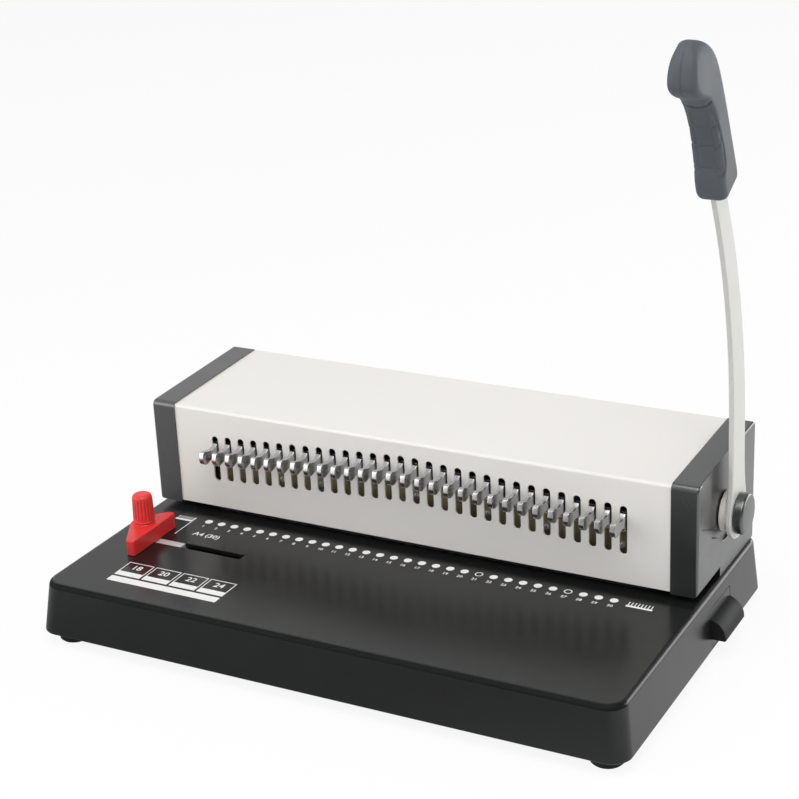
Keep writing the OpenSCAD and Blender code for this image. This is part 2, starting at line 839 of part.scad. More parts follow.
module lever_bar() {
    color([0.86, 0.85, 0.82]) placed() difference() {
        lever_solid();
        x_rod(shaft_r, lever_x - 1, lever_x1 + 1, pivot_y, pivot_z);
    }
}

module lever_hub() {
    color([0.9, 0.9, 0.88]) placed() difference() {
        x_rod(hub_r, hub_x, lever_x, pivot_y, pivot_z);
        x_rod(shaft_r, hub_x - 1, lever_x + 1, pivot_y, pivot_z);
        block(hub_x - 1, lever_x + 1, pivot_y - hub_r, pivot_y + hub_r, pivot_z - hub_r - 1, pivot_z - hub_flat);
        z_rod(set_screw_r, set_screw_x, pivot_y, pivot_z - hub_r, pivot_z - shaft_r + 1);
    }
}

set_screw_x = lever_x - set_screw_r - 0.1;

module hub_set_screw() {
    color([0.06, 0.06, 0.06]) placed() difference() {
        z_rod(set_screw_r, set_screw_x, pivot_y, pivot_z - hub_flat - set_screw_out, pivot_z);
        x_rod(shaft_r, hub_x - 1, lever_x + 1, pivot_y, pivot_z);
    }
}

module pivot_cap() {
    rim = 0.55 * pivot_cap_h;
    color([0.3, 0.31, 0.32]) placed() difference() {
        union() {
            x_rod(pivot_cap_r, lever_x1, lever_x1 + rim, pivot_y, pivot_z);
            translate([lever_x1 + rim, pivot_y, pivot_z]) rotate([0, 90, 0])
                cylinder(r1 = pivot_cap_r, r2 = 0.72 * pivot_cap_r, h = pivot_cap_h - rim, $fn = round_fn);
        }
        x_rod(shaft_r, lever_x1 - 1, lever_x1 + shaft_end, pivot_y, pivot_z);
    }
}

// The grip's outline across the lever, from its foot up: distance in front of or behind the
// lever's line. The main part is one smooth block and the thumb nose leans out at its top.
grip_front = 8;
grip_back = 14.5;
nose_out = 21;
nose_low = 0.78;
nose_tip = 0.93;
grip_side_r = 5;

module grip_knob(v, u, r) {
    flat = grip_t / 2 - grip_side_r;
    translate([-flat, v, u]) rotate([0, 90, 0]) cylinder(r = r, h = 2 * flat, $fn = hull_fn);
    translate([-grip_t / 2, v, u]) rotate([0, 90, 0])
        cylinder(r = max(r - grip_side_r, 0.5), h = grip_t, $fn = hull_fn);
}

module grip_solid() {
    hull() {
        grip_knob(-grip_front + 6, 6.5, 6);
        grip_knob(grip_back - 7, 10, 6.5);
        grip_knob(-grip_front + 7, nose_low * grip_len, 7);
        grip_knob(grip_back - 14, grip_len - 14, 14);
    }
    hull() {
        grip_knob(-grip_front + 10, nose_low * grip_len, 8);
        grip_knob(-nose_out + 6, nose_tip * grip_len - 4, 6);
        grip_knob(grip_back - 14, grip_len - 14, 14);
    }
}

module lever_grip() {
    color([0.36, 0.38, 0.4]) placed() difference() {
        translate([lever_mid_x, grip_foot[0], grip_foot[1]]) rotate([grip_lean, 0, 0]) grip_solid();
        lever_solid();
    }
}

// Punch bar with its pins and racks
module at_pins() {
    for (i = [0 : hole_count - 1])
        translate([row_x(i), pin_y, 0]) children();
}

retainer_screw_r = 1.2;
retainer_screw_head_r = 2.2;
retainer_half = row_half + 8;
ear_w = 10;

module at_retainer_screws() {
    for (i = [1 : 4 : hole_count - 2])
        translate([row_x(i) + hole_pitch / 2, pin_y, 0]) children();
}

rack_screw_len = 6;
punch_arm_h = 6;
hook_arm_h = 9;
rack_body = 6.5;
rack_spare = 9;

module at_rack_screws() {
    for (sx = [-1, 1], k = [0.27, 0.73])
        translate([sx * (punch_gear_x + gear_w / 2), bar_y0 + k * bar_d, 0]) children();
}

module punch_bar() {
    color([0.6, 0.61, 0.63]) placed() difference() {
        block(1 - frame_x0, frame_x0 - 1, bar_y0, bar_y1, bar_z, bar_top);
        at_pins() z_rod(pin_r, 0, 0, bar_z - 1, bar_top + 1);
        at_pins() z_rod(pin_head_r, 0, 0, bar_top - pin_head_h, bar_top + 1);
        at_retainer_screws() z_rod(retainer_screw_r, 0, 0, bar_top - rack_screw_len, bar_top + 1);
        at_rack_screws() z_rod(screw_r, 0, 0, bar_top - rack_screw_len, bar_top + 1);
    }
}

module punch_pins() {
    color([0.72, 0.73, 0.75]) placed() for (i = [0 : hole_count - 1]) {
        tip = throat_top + pin_lift + stagger(row_x(i));
        translate([row_x(i), pin_y, 0]) {
            z_rod(pin_r, 0, 0, tip, bar_top);
            z_rod(pin_head_r, 0, 0, bar_top - pin_head_h, bar_top);
        }
    }
}

module pin_retainer() {
    color([0.66, 0.64, 0.5]) placed() difference() {
        union() {
            block(-retainer_half, retainer_half, bar_y0, bar_y1, bar_top, retainer_top);
            both_sides() block(spring_x - ear_w / 2, spring_x + ear_w / 2, bar_y1, spring_rod_y + spring_r,
                bar_top, retainer_top);
        }
        at_retainer_screws() z_rod(retainer_screw_r, 0, 0, bar_top - 1, retainer_top + 1);
    }
}

module retainer_screws() {
    color([0.75, 0.75, 0.76]) placed() at_retainer_screws() {
        z_rod(retainer_screw_head_r, 0, 0, retainer_top, retainer_top + 1);
        z_rod(retainer_screw_r, 0, 0, bar_top - rack_screw_len, retainer_top + 1);
    }
}

// Rack teeth face the pinion, with a gap level with the shaft at rest.
module rack_outline(m, z0, z1) {
    line = pivot_y - pinion_teeth * m / 2;
    pitch = PI * m;
    root = line - 1.25 * m;
    tip = line + 0.95 * m;
    half = pitch / 4 - tooth_play / 2;
    first = ceil((z0 - pivot_z) / pitch + 0.2);
    last = floor((z1 - pivot_z) / pitch - 1.2);
    translate([root - rack_body, z0]) square([rack_body, z1 - z0]);
    for (k = [first : last]) {
        mid = pivot_z + (k + 0.5) * pitch;
        low = half + 1.25 * m * tan(tooth_angle);
        high = half - 0.95 * m * tan(tooth_angle);
        polygon([[root - 0.1, mid - low], [tip, mid - high], [tip, mid + high], [root - 0.1, mid + low]]);
    }
}

module punch_racks() {
    back = pivot_y - punch_pitch_r - 1.25 * punch_module - rack_body;
    z0 = min(bar_top, pivot_z - rack_spare);
    z1 = pivot_z + punch_travel + rack_spare;
    color([0.55, 0.56, 0.58]) placed() both_sides() difference() {
        side_slab(punch_gear_x, punch_gear_x + gear_w) {
            rack_outline(punch_module, z0, z1);
            translate([bar_y0, bar_top]) square([back + 1 - bar_y0, punch_arm_h]);
        }
        at_rack_screws() z_rod(screw_r, 0, 0, bar_top - 1, bar_top + punch_arm_h + 1);
    }
}

module rack_screws() {
    top = bar_top + punch_arm_h;
    color([0.75, 0.75, 0.76]) placed() at_rack_screws() {
        z_rod(screw_head_r - 0.4, 0, 0, top, top + screw_head_h);
        z_rod(screw_r, 0, 0, bar_top - rack_screw_len, top + screw_head_h);
    }
}

// Opening hooks on their chevron plate
hook_plate_half = hook_gear_x + gear_w;
hook_screw_len = 10;

module hook_outline() {
    root_y = hook_plate_y + hook_plate_t;
    f = panel_y;
    z = -hook_drop;
    polygon([
        [root_y, z],
        [f, z],
        [f - 0.3 * hook_reach, z - 1.8],
        [f - 0.5 * hook_reach, z - 0.8],
        [f - 0.72 * hook_reach, z + 2],
        [f - 0.97 * hook_reach, z + 2],
        [f - hook_reach, z + 1.2],
        [f - hook_reach, z - 5],
        [f - 0.72 * hook_reach, z - 7.2],
        [f - 0.3 * hook_reach, z - 8.4],
        [f, z - hook_root_h],
        [root_y, z - hook_root_h]]);
}

module at_hook_rack_screws() {
    for (sx = [-1, 1], k = [0.3, 0.75])
        translate([sx * (hook_gear_x + gear_w / 2), 0, hook_z_low + 1 + k * hook_arm_h]) children();
}

module hook_comb() {
    color([0.78, 0.79, 0.8]) placed() difference() {
        union() {
            front_slab(hook_plate_y, hook_plate_y + hook_plate_t) polygon([
                [-hook_plate_half, hook_z_low],
                [-row_half, hook_z_low],
                [0, hook_z_low + chevron_rise],
                [row_half, hook_z_low],
                [hook_plate_half, hook_z_low],
                [hook_plate_half, hook_z_top],
                [row_half, hook_z_top],
                [0, hook_z_top + chevron_rise],
                [-row_half, hook_z_top],
                [-hook_plate_half, hook_z_top]]);
            for (i = [0 : hole_count - 1])
                translate([row_x(i) - hook_t / 2, 0, deck + slot_top + chevron(row_x(i))])
                    side_slab(0, hook_t) hook_outline();
        }
        at_hook_rack_screws() y_rod(screw_r, 0, hook_plate_y - 1, hook_plate_y + hook_plate_t + 1, 0);
    }
}

module hook_racks() {
    back = pivot_y - hook_pitch_r - 1.25 * hook_module - rack_body;
    arm_y = hook_plate_y + hook_plate_t;
    z0 = min(hook_z_low + 1, pivot_z - rack_spare);
    z1 = max(hook_z_low + 1 + hook_arm_h, pivot_z + hook_travel + rack_spare);
    color([0.55, 0.56, 0.58]) placed() both_sides() difference() {
        side_slab(hook_gear_x, hook_gear_x + gear_w) {
            rack_outline(hook_module, z0, z1);
            translate([arm_y, hook_z_low + 1]) square([back + 1 - arm_y, hook_arm_h]);
        }
        at_hook_rack_screws() y_rod(screw_r, 0, arm_y - 1, arm_y + hook_screw_len, 0);
    }
}

module hook_rack_screws() {
    color([0.75, 0.75, 0.76]) placed() at_hook_rack_screws()
        y_rod(screw_r, 0, hook_plate_y, hook_plate_y + hook_plate_t + hook_screw_len, 0);
}

// Edge guide with its clamp
boss_x = guide_x - 6.5;
collar_h = 1;
bar_low = deck + 0.2;
guide_bar_top = bar_low + guide_h;
knob_z = guide_bar_top + collar_h + slide_gap;
stud_grip = 12;

module edge_guide() {
    stop = -guide_stop_x;
    front = guide_y - 0.56 * guide_len;
    rear = guide_y + 0.44 * guide_len;
    color([0.86, 0.2, 0.2]) placed() difference() {
        union() {
            translate([0, 0, bar_low]) linear_extrude(guide_h) {
                polygon([[stop, front], [stop, rear], [stop - guide_bar_t, rear], [boss_x - boss_r, guide_y + 3],
                    [boss_x - boss_r, guide_y - 3], [stop - guide_bar_t, front]]);
                translate([boss_x, guide_y]) circle(r = boss_r, $fn = round_fn);
            }
            z_rod(knob_r, boss_x, guide_y, guide_bar_top - 0.5, guide_bar_top + collar_h);
        }
        z_rod(stud_r, boss_x, guide_y, bar_low - 1, knob_z);
    }
}

module guide_slider() {
    x0 = guide_x - tongue_back;
    x1 = guide_x + tongue_front;
    wall_low = deck - base_wall;
    color([0.8, 0.8, 0.8]) placed() difference() {
        union() {
            block(x0, x1, guide_y - guide_slot_w / 2 + 0.2, guide_y + guide_slot_w / 2 - 0.2,
                wall_low - slide_gap - slider_t, deck - 0.6);
            block(x0, x1, guide_y - guide_slot_w, guide_y + guide_slot_w,
                wall_low - slide_gap - slider_t, wall_low - slide_gap);
        }
        z_rod(stud_r, boss_x, guide_y, wall_low - slider_t - 1, deck);
    }
}

module guide_stud() {
    color([0.75, 0.75, 0.76]) placed()
        z_rod(stud_r, boss_x, guide_y, deck - base_wall - slide_gap - slider_t, knob_z + stud_grip);
}

module guide_knob() {
    color([0.88, 0.22, 0.22]) placed() difference() {
        union() {
            translate([boss_x, guide_y, knob_z])
                cylinder(r1 = knob_r, r2 = 0.94 * knob_r, h = knob_h - 2, $fn = round_fn);
            translate([boss_x, guide_y, knob_z + knob_h - 2])
                cylinder(r1 = 0.94 * knob_r, r2 = 0.68 * knob_r, h = 2, $fn = round_fn);
        }
        z_rod(stud_r + 0.05, boss_x, guide_y, knob_z - 1, knob_z + stud_grip + slide_gap);
    }
}

// Chip tray on its runners
tray_front_t = 3;
runner_t = 1.7;
runner_h = 6;

module chip_tray() {
    color([0.2, 0.21, 0.21]) placed() difference() {
        block(tray_x0, side_x, tray_y0, tray_y1, tray_z0, tray_top);
        block(tray_x0 + tray_wall, side_x - tray_front_t, tray_y0 + tray_wall, tray_y1 - tray_wall,
            tray_z0 + tray_wall, tray_top + 1);
    }
}

module tray_handle() {
    mid = (tray_y0 + tray_y1) / 2;
    top = tray_top - 3;
    r = handle_out + 5;
    low = top - r - 3;
    x1 = base_w / 2 + handle_out;
    color([0.22, 0.23, 0.23]) placed() difference() {
        intersection() {
            union() {
                y_rod(r, x1 - r, mid - handle_len / 2, mid + handle_len / 2, top - r);
                block(side_x, x1, mid - handle_len / 2, mid + handle_len / 2, low, top - r);
            }
            block(side_x, x1, mid - handle_len / 2, mid + handle_len / 2, low, top);
        }
        block(side_x + 2.5, x1 - 2.5, mid - handle_len / 2 + 2.5, mid + handle_len / 2 - 2.5, low - 1, top - r);
    }
}

module tray_runners() {
    z0 = foot_h + bottom_t;
    color([0.66, 0.64, 0.5]) placed() {
        block(tray_x0, cavity_x - 2, tray_y0 - slide_gap - runner_t, tray_y0 - slide_gap, z0, z0 + runner_h);
        block(tray_x0, cavity_x - 2, tray_y1 + slide_gap, tray_y1 + slide_gap + runner_t, z0, z0 + runner_h);
    }
}

base_housing();
bottom_plate();
rubber_feet();
foot_screws();
die_plate();
die_screws();
left_side_frame();
right_side_frame();
frame_screws();
pin_guide_plate();
guide_plate_screws();
paper_backstop();
backing_plate();
backing_plate_screws();
rear_rail();
spring_rod();
return_springs();
top_cover();
cover_screws();
left_end_cap();
right_end_cap();
cap_screws();
left_shaft_bush();
right_shaft_bush();
tray_runners();
drive_shaft();
shaft_rings();
punch_pinions();
hook_pinions();
lever_hub();
hub_set_screw();
lever_bar();
lever_grip();
pivot_cap();
punch_bar();
punch_pins();
pin_retainer();
retainer_screws();
punch_racks();
rack_screws();
hook_comb();
hook_racks();
hook_rack_screws();
edge_guide();
guide_slider();
guide_stud();
guide_knob();
chip_tray();
tray_handle();
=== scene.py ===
import json
import math

import bmesh
import bpy
from mathutils import Matrix, Vector


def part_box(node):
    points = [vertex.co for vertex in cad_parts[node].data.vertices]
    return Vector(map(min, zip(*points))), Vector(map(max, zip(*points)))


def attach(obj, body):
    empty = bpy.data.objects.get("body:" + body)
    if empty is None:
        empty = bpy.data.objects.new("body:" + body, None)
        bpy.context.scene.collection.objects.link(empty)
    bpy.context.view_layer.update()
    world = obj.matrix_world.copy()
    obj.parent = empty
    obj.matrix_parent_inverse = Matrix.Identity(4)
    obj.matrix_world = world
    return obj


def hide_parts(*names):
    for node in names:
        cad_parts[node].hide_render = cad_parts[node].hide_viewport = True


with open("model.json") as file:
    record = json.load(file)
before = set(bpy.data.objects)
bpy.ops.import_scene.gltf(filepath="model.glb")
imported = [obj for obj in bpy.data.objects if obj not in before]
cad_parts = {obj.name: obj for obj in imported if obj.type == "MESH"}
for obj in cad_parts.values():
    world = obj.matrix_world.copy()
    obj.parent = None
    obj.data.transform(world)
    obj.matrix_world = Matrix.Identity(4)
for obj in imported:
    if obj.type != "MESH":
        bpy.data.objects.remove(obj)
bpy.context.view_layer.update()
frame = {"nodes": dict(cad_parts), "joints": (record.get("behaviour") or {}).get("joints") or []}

bl_info = {
    "name": "Binding punch looks",
    "version": (1, 0, 0),
    "blender": (4, 5, 0),
    "location": "3D View > Sidebar > Binding punch",
    "description": "Models and finishes the pieces of a hand-lever binding punch around its packed frame",
    "category": "Object",
}

MM = 0.001

# Places that the packed frame gives
BASE_LOW, BASE_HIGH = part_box("base_housing")
COVER_LOW, COVER_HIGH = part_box("top_cover")
LEVER_LOW, LEVER_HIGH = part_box("lever_bar")
ROW_X = (BASE_LOW.x + BASE_HIGH.x) / 2
DECK = BASE_HIGH.z
PANEL_Y = COVER_LOW.y
THROAT_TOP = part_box("pin_guide_plate")[0].z
JOINTS = {joint["name"]: joint for joint in frame["joints"]}
PIVOT = Vector(JOINTS["lever_swing"]["pos_m"])
KNOB_AXIS = Vector(JOINTS["knob_turn"]["pos_m"])
GUIDE_TRAVEL = JOINTS["guide_slide"]["range_m"][1]

HOLE_COUNT = 30
HOLE_PITCH = 9.5 * MM
ROW_HALF = (HOLE_COUNT - 1) / 2 * HOLE_PITCH
# Slots whose foot shows a screw of the backing plate, and dots printed as rings
SCREW_SLOTS = (5, 8, 15, 20, 24, 29)
RING_DOTS = (20, 26)

# Faces that meet at less than the first angle are shaded as one; an edge is sharp above the second
SMOOTH_ANGLE = math.radians(34)
SHARP_ANGLE = 1.0
# How far cutters and tests of place reach past a face, slack of a close test, and lift of the prints
PAST = 1 * MM
CLOSE = 0.05 * MM
LIFT = 0.01 * MM


def row_x(index):
    """X of a pin, slot or hook, counted from the left."""
    return ROW_X + (index - (HOLE_COUNT - 1) / 2) * HOLE_PITCH


def chevron(index, rise):
    """How much higher a slot stands than the outer ones."""
    return rise * (1 - abs(row_x(index) - ROW_X) / ROW_HALF)


# Settings

def length(name, description, default):
    return bpy.props.FloatProperty(
        name=name, description=description, default=default, min=0, precision=5, unit="LENGTH")


def colour(name, description, default):
    return bpy.props.FloatVectorProperty(
        name=name, description=description, default=default, size=4, min=0, max=1, subtype="COLOR")


class PunchBase(bpy.types.PropertyGroup):
    """Sizes of the base housing."""
    draft: length("Draft", "How far the front and the ends lean in from foot to top", 4.1 * MM)
    corner: length("Corner radius", "Radius of the upright corners", 12 * MM)
    edge: length("Edge radius", "Radius of the rounding along the top edge", 3 * MM)
    foot_edge: length("Foot edge", "Radius of the rounding along the foot", 1.2 * MM)
    wall: length("Wall", "Wall thickness", 3 * MM)
    slot_width: length("Guide slot", "Width of the edge guide's slot", 6.5 * MM)
    rim: length("Rim", "Small rounding of cut edges", 0.5 * MM)


class PunchCover(bpy.types.PropertyGroup):
    """Sizes of the sheet cover and its end caps."""
    sheet: length("Sheet", "Thickness of the sheet", 1 * MM)
    slope: length("Slope", "How much lower the cover's front edge is than its rear edge", 3.5 * MM)
    bend: length("Bend radius", "Outer radius of the two bends", 2 * MM)
    slot_width: length("Slot width", "Width of a hook slot", 4.5 * MM)
    slot_length: length("Slot length", "Length of a hook slot", 30.2 * MM)
    slot_top: length("Slot top", "Height of the outer slots' top above the deck", 53.2 * MM)
    rise: length("Rise", "How much higher the middle slots stand", 8.4 * MM)
    rim: length("Rim", "Rounding of the slots' edges", 0.35 * MM)
    cap_bevel: length("Cap bevel", "Bevel around a cap's outer face", 1.6 * MM)
    cap_foot: length("Cap foot", "Rounding of a cap's outer edge above the paper gap", 3 * MM)
    cap_round: length("Cap rounding", "Rounding of a cap's upper front and rear edges", 3.5 * MM)
    cap_wall: length("Cap wall", "Wall thickness of a cap", 2.5 * MM)
    notch_height: length("Notch height", "Height of the paper gap under a cap", 3.8 * MM)
    notch_depth: length("Notch depth", "Length of that gap from the cap's front", 39 * MM)
    pocket_depth: length("Pocket depth", "Depth of the pocket around the hub", 1.5 * MM)
    pocket_radius: length("Pocket radius", "Radius of the pocket's rounded foot", 18.1 * MM)
    pocket_step: length("Pocket step", "Distance from the pivot to the pocket's inner step", 24.8 * MM)
    pocket_front: length("Pocket front", "Distance from the cap's front to the pocket", 6 * MM)


class PunchHooks(bpy.types.PropertyGroup):
    """Sizes of the opening hooks."""
    thickness: length("Thickness", "Thickness of a hook", 3.3 * MM)
    reach: length("Reach", "How far the hooks stand out of the front panel", 17 * MM)
    drop: length("Drop", "Distance from a slot's top to the hook's root", 4.5 * MM)
    root: length("Root height", "Height of a hook's root", 12.5 * MM)
    edge: length("Edge", "Rounding of the hooks' edges", 0.55 * MM)


class PunchLever(bpy.types.PropertyGroup):
    """Sizes of the lever, its hub and its grip."""
    foot_width: length("Foot width", "Width of the bar at its pivot", 31 * MM)
    waist: length("Waist", "Width of the bar above its hub", 22.2 * MM)
    waist_height: length("Waist height", "Height of that place above the pivot", 20 * MM)
    knee: length("Knee", "Width of the bar where its bend begins", 20.6 * MM)
    width: length("Width", "Width of the bar below its grip", 16 * MM)
    edge: length("Edge", "Rounding of the bar's edges", 0.7 * MM)
    straight: length("Straight", "Length of the straight lower part", 56.5 * MM)
    bend: length("Bend radius", "Radius of the bent upper part", 330 * MM)
    lean: bpy.props.FloatProperty(
        name="Lean", description="Forward lean of the lower part",
        default=math.radians(2.5), subtype="ANGLE")
    grip_lean: bpy.props.FloatProperty(
        name="Grip lean", description="Forward lean of the grip",
        default=math.radians(26), subtype="ANGLE")
    grip_seat: length("Grip seat", "Straight length between the bend and the grip", 12 * MM)
    grip_thickness: length("Grip thickness", "Thickness of the grip", 17 * MM)
    groove: length("Groove", "Depth of the grip's grooves", 1.1 * MM)


class PunchGuide(bpy.types.PropertyGroup):
    """Sizes of the red edge guide and its knob."""
    boss: length("Boss radius", "Radius of the boss under the knob", 9 * MM)
    collar: length("Collar", "Height of the ring under the knob", 1 * MM)
    end: length("End radius", "Rounding of the guide's two ends", 2 * MM)
    edge: length("Edge", "Rounding of the guide's edges", 0.9 * MM)
    ribs: bpy.props.IntProperty(name="Ribs", description="Number of ribs round the knob", default=18, min=6)
    rib_depth: length("Rib depth", "Depth of the grooves between the ribs", 0.55 * MM)


class PunchPrints(bpy.types.PropertyGroup):
    """Sizes of the white prints on the deck."""
    ink: length("Ink", "Thickness of the print", 0.06 * MM)
    dot: length("Dot radius", "Radius of a hole dot", 2.5 * MM)
    line: length("Line", "Width of a printed line", 0.6 * MM)
    number: length("Number size", "Size of the numbers under the dots", 3.6 * MM)


class PunchFinishes(bpy.types.PropertyGroup):
    """Colours of the finishes."""
    base: colour("Base", "Black of the base", (0.009, 0.0095, 0.0095, 1))
    # The cover's cream also goes on the lever's hub, as painted light against its shade
    cover: colour("Cover", "Cream of the sheet cover", (0.82, 0.80, 0.765, 1))
    lever: colour("Lever", "Cream of the lever", (0.60, 0.595, 0.57, 1))
    cap: colour("Cap", "Dark grey of the end caps", (0.009, 0.0104, 0.011, 1))
    grip: colour("Grip", "Slate grey of the grip", (0.087, 0.098, 0.111, 1))
    guide: colour("Guide", "Red of the edge guide", (0.75, 0.036, 0.034, 1))
    print: colour("Print", "White of the prints", (0.86, 0.86, 0.85, 1))
    chrome: colour("Chrome", "Tint of the hooks", (0.56, 0.56, 0.555, 1))
    zinc: colour("Zinc", "Yellow zinc of the inner plates", (0.36, 0.315, 0.15, 1))


class PunchStage(bpy.types.PropertyGroup):
    """Camera and light around the machine."""
    lens: bpy.props.FloatProperty(
        name="Lens", description="Focal length on a 36 mm sensor", default=86.55, min=1)
    roll: bpy.props.FloatProperty(
        name="Roll", description="Turn of the picture about its middle",
        default=math.radians(-2.637), subtype="ANGLE")
    eye: bpy.props.FloatVectorProperty(
        name="Eye", description="Place of the camera from the middle of the front panel's foot",
        default=(0.50416, -0.92816, 0.55287), subtype="TRANSLATION")
    aim: bpy.props.FloatVectorProperty(
        name="Aim", description="Point that the camera looks at, from the same place",
        default=(0.04312, -0.08536, 0.17608), subtype="TRANSLATION")


# Modelling helpers

def deselect():
    """Leaves edit mode and clears the selection, which holds the packed nodes after loading."""
    if bpy.context.mode != "OBJECT":
        bpy.ops.object.mode_set(mode="OBJECT")
    bpy.ops.object.select_all(action="DESELECT")


def activate(piece):
    deselect()
    piece.select_set(True)
    bpy.context.view_layer.objects.active = piece


def edit(piece):
    activate(piece)
    bpy.ops.object.mode_set(mode="EDIT")


def pick(piece, kind, test):
    """In edit mode, selects only the vertices, edges or faces that pass a test of their place."""
    bpy.ops.mesh.select_mode(type=kind)
    bpy.ops.mesh.select_all(action="DESELECT")
    mesh = bmesh.from_edit_mesh(piece.data)
    parts = {"VERT": mesh.verts, "EDGE": mesh.edges, "FACE": mesh.faces}[kind]
    for part in parts:
        if test(part):
            part.select_set(True)
    mesh.select_flush_mode()
    bmesh.update_edit_mesh(piece.data)


def ends(edge):
    return edge.verts[0].co, edge.verts[1].co


def lies(edge, axis, value, slack=0.02 * MM):
    """True if both ends of an edge have that coordinate."""
    return all(abs(point[axis] - value) < slack for point in ends(edge))


def inside(edge, low, high):
    """True if both ends of an edge lie in a box."""
    return all(low[k] <= point[k] <= high[k] for point in ends(edge) for k in range(3))


def lengthwise(edge):
    """True for an edge that runs along the machine for more than 5 mm."""
    return abs(ends(edge)[0].x - ends(edge)[1].x) > 5 * MM


def sharp(edge):
    return len(edge.link_faces) == 2 and edge.calc_face_angle(0) > SHARP_ANGLE


def right_of(edge, x):
    """True if an edge reaches further to the right than a place."""
    return max(point.x for point in ends(edge)) > x


def place_applied(piece):
    activate(piece)
    bpy.ops.object.transform_apply(location=True, rotation=True, scale=True)


def block(low, high):
    """A cube primitive stretched between two corners."""
    deselect()
    low, high = Vector(low), Vector(high)
    bpy.ops.mesh.primitive_cube_add(size=1, location=(low + high) / 2, scale=high - low)
    piece = bpy.context.active_object
    place_applied(piece)
    return piece


def rod(radius, start, depth, axis, sides=48):
    """A cylinder primitive from a start point along an axis."""
    deselect()
    turn = {"X": (0, math.pi / 2, 0), "Y": (-math.pi / 2, 0, 0), "Z": (0, 0, 0)}[axis]
    step = Vector([depth / 2 if letter == axis else 0 for letter in "XYZ"])
    bpy.ops.mesh.primitive_cylinder_add(
        vertices=sides, radius=radius, depth=depth, location=Vector(start) + step, rotation=turn)
    piece = bpy.context.active_object
    place_applied(piece)
    return piece


def copy_of(piece, offset):
    """A copy with its own mesh, moved by an offset."""
    other = piece.copy()
    other.data = piece.data.copy()
    other.data.transform(Matrix.Translation(offset))
    bpy.context.scene.collection.objects.link(other)
    return other


def row_of(first, rise=0.0):
    """The piece at the row's first place and its copies at all the others."""
    return [first] + [copy_of(first, (row_x(index) - row_x(0), 0, chevron(index, rise)))
                      for index in range(1, HOLE_COUNT)]


def joined(pieces):
    """Makes one object of several."""
    activate(pieces[0])
    for piece in pieces[1:]:
        piece.select_set(True)
    bpy.ops.object.join()
    return bpy.context.active_object


def cut(piece, cutter):
    """Takes one closed shape out of another."""
    boolean = piece.modifiers.new("cut", "BOOLEAN")
    boolean.operation = "DIFFERENCE"
    boolean.solver = "EXACT"
    boolean.object = cutter
    activate(piece)
    bpy.ops.object.modifier_apply(modifier=boolean.name)
    bpy.data.objects.remove(cutter)


def bevel_edges(piece, test, width, segments):
    """Rounds the edges that pass a test."""
    edit(piece)
    pick(piece, "EDGE", test)
    bpy.ops.mesh.bevel(offset=width, segments=segments, affect="EDGES", clamp_overlap=True)
    bpy.ops.object.mode_set(mode="OBJECT")


def outward(piece, merge=0.002 * MM):
    """Merges doubled points and turns all faces outwards."""
    edit(piece)
    bpy.ops.mesh.select_mode(type="VERT")
    bpy.ops.mesh.select_all(action="SELECT")
    bpy.ops.mesh.remove_doubles(threshold=merge)
    bpy.ops.mesh.normals_make_consistent(inside=False)
    bpy.ops.object.mode_set(mode="OBJECT")


def slab(outline, depth):
    """Draws a flat outline of 3D points from a circle primitive and pulls it out by a vector."""
    deselect()
    bpy.ops.mesh.primitive_circle_add(vertices=len(outline), radius=1, fill_type="NGON")
    piece = bpy.context.active_object
    place_applied(piece)
    for vertex, point in zip(piece.data.vertices, outline):
        vertex.co = point
    edit(piece)
    bpy.ops.mesh.select_all(action="SELECT")
    bpy.ops.mesh.extrude_region_move(TRANSFORM_OT_translate={"value": depth})
    outward(piece)
    return piece


def sleeve(rings):
    """Rolls a grid primitive into a closed skin through rings of equally many points."""
    around, along = len(rings[0]), len(rings)
    deselect()
    bpy.ops.mesh.primitive_grid_add(x_subdivisions=around, y_subdivisions=along - 1, size=1)
    piece = bpy.context.active_object
    place_applied(piece)
    for index, vertex in enumerate(piece.data.vertices):
        ring, k = divmod(index, around + 1)
        vertex.co = rings[ring][k % around]
    outward(piece, merge=0.0005 * MM)
    edit(piece)
    bpy.ops.mesh.select_all(action="SELECT")
    bpy.ops.mesh.fill_holes(sides=0)
    outward(piece, merge=0.0005 * MM)
    return piece


def turned(profile, centre, axis, sides=64):
    """A turned part: rings of radius and distance along an axis."""
    rings = []
    for radius, run in profile:
        ring = []
        for k in range(sides):
            a = 2 * math.pi * k / sides
            p, q = radius * math.cos(a), radius * math.sin(a)
            offset = {"X": (run, p, q), "Y": (q, run, p), "Z": (p, q, run)}[axis]
            ring.append(Vector(centre) + Vector(offset))
        rings.append(ring)
    return sleeve(rings)


def arc(centre, radius, start, stop, steps):
    """Points (a, b) on a circle, in degrees."""
    points = []
    for k in range(steps + 1):
        a = math.radians(start + (stop - start) * k / steps)
        points.append((centre[0] + radius * math.cos(a), centre[1] + radius * math.sin(a)))
    return points


def flow(points, steps):
    """A smooth closed line through points, with a few steps between each two."""
    count = len(points)
    line = []
    for k in range(count):
        a, b, c, d = (Vector(points[(k + j) % count]) for j in (-1, 0, 1, 2))
        for s in range(steps):
            t = s / steps
            line.append(0.5 * ((2 * b) + (c - a) * t + (2 * a - 5 * b + 4 * c - d) * t ** 2
                               + (3 * b - a - 3 * c + d) * t ** 3))
    return line


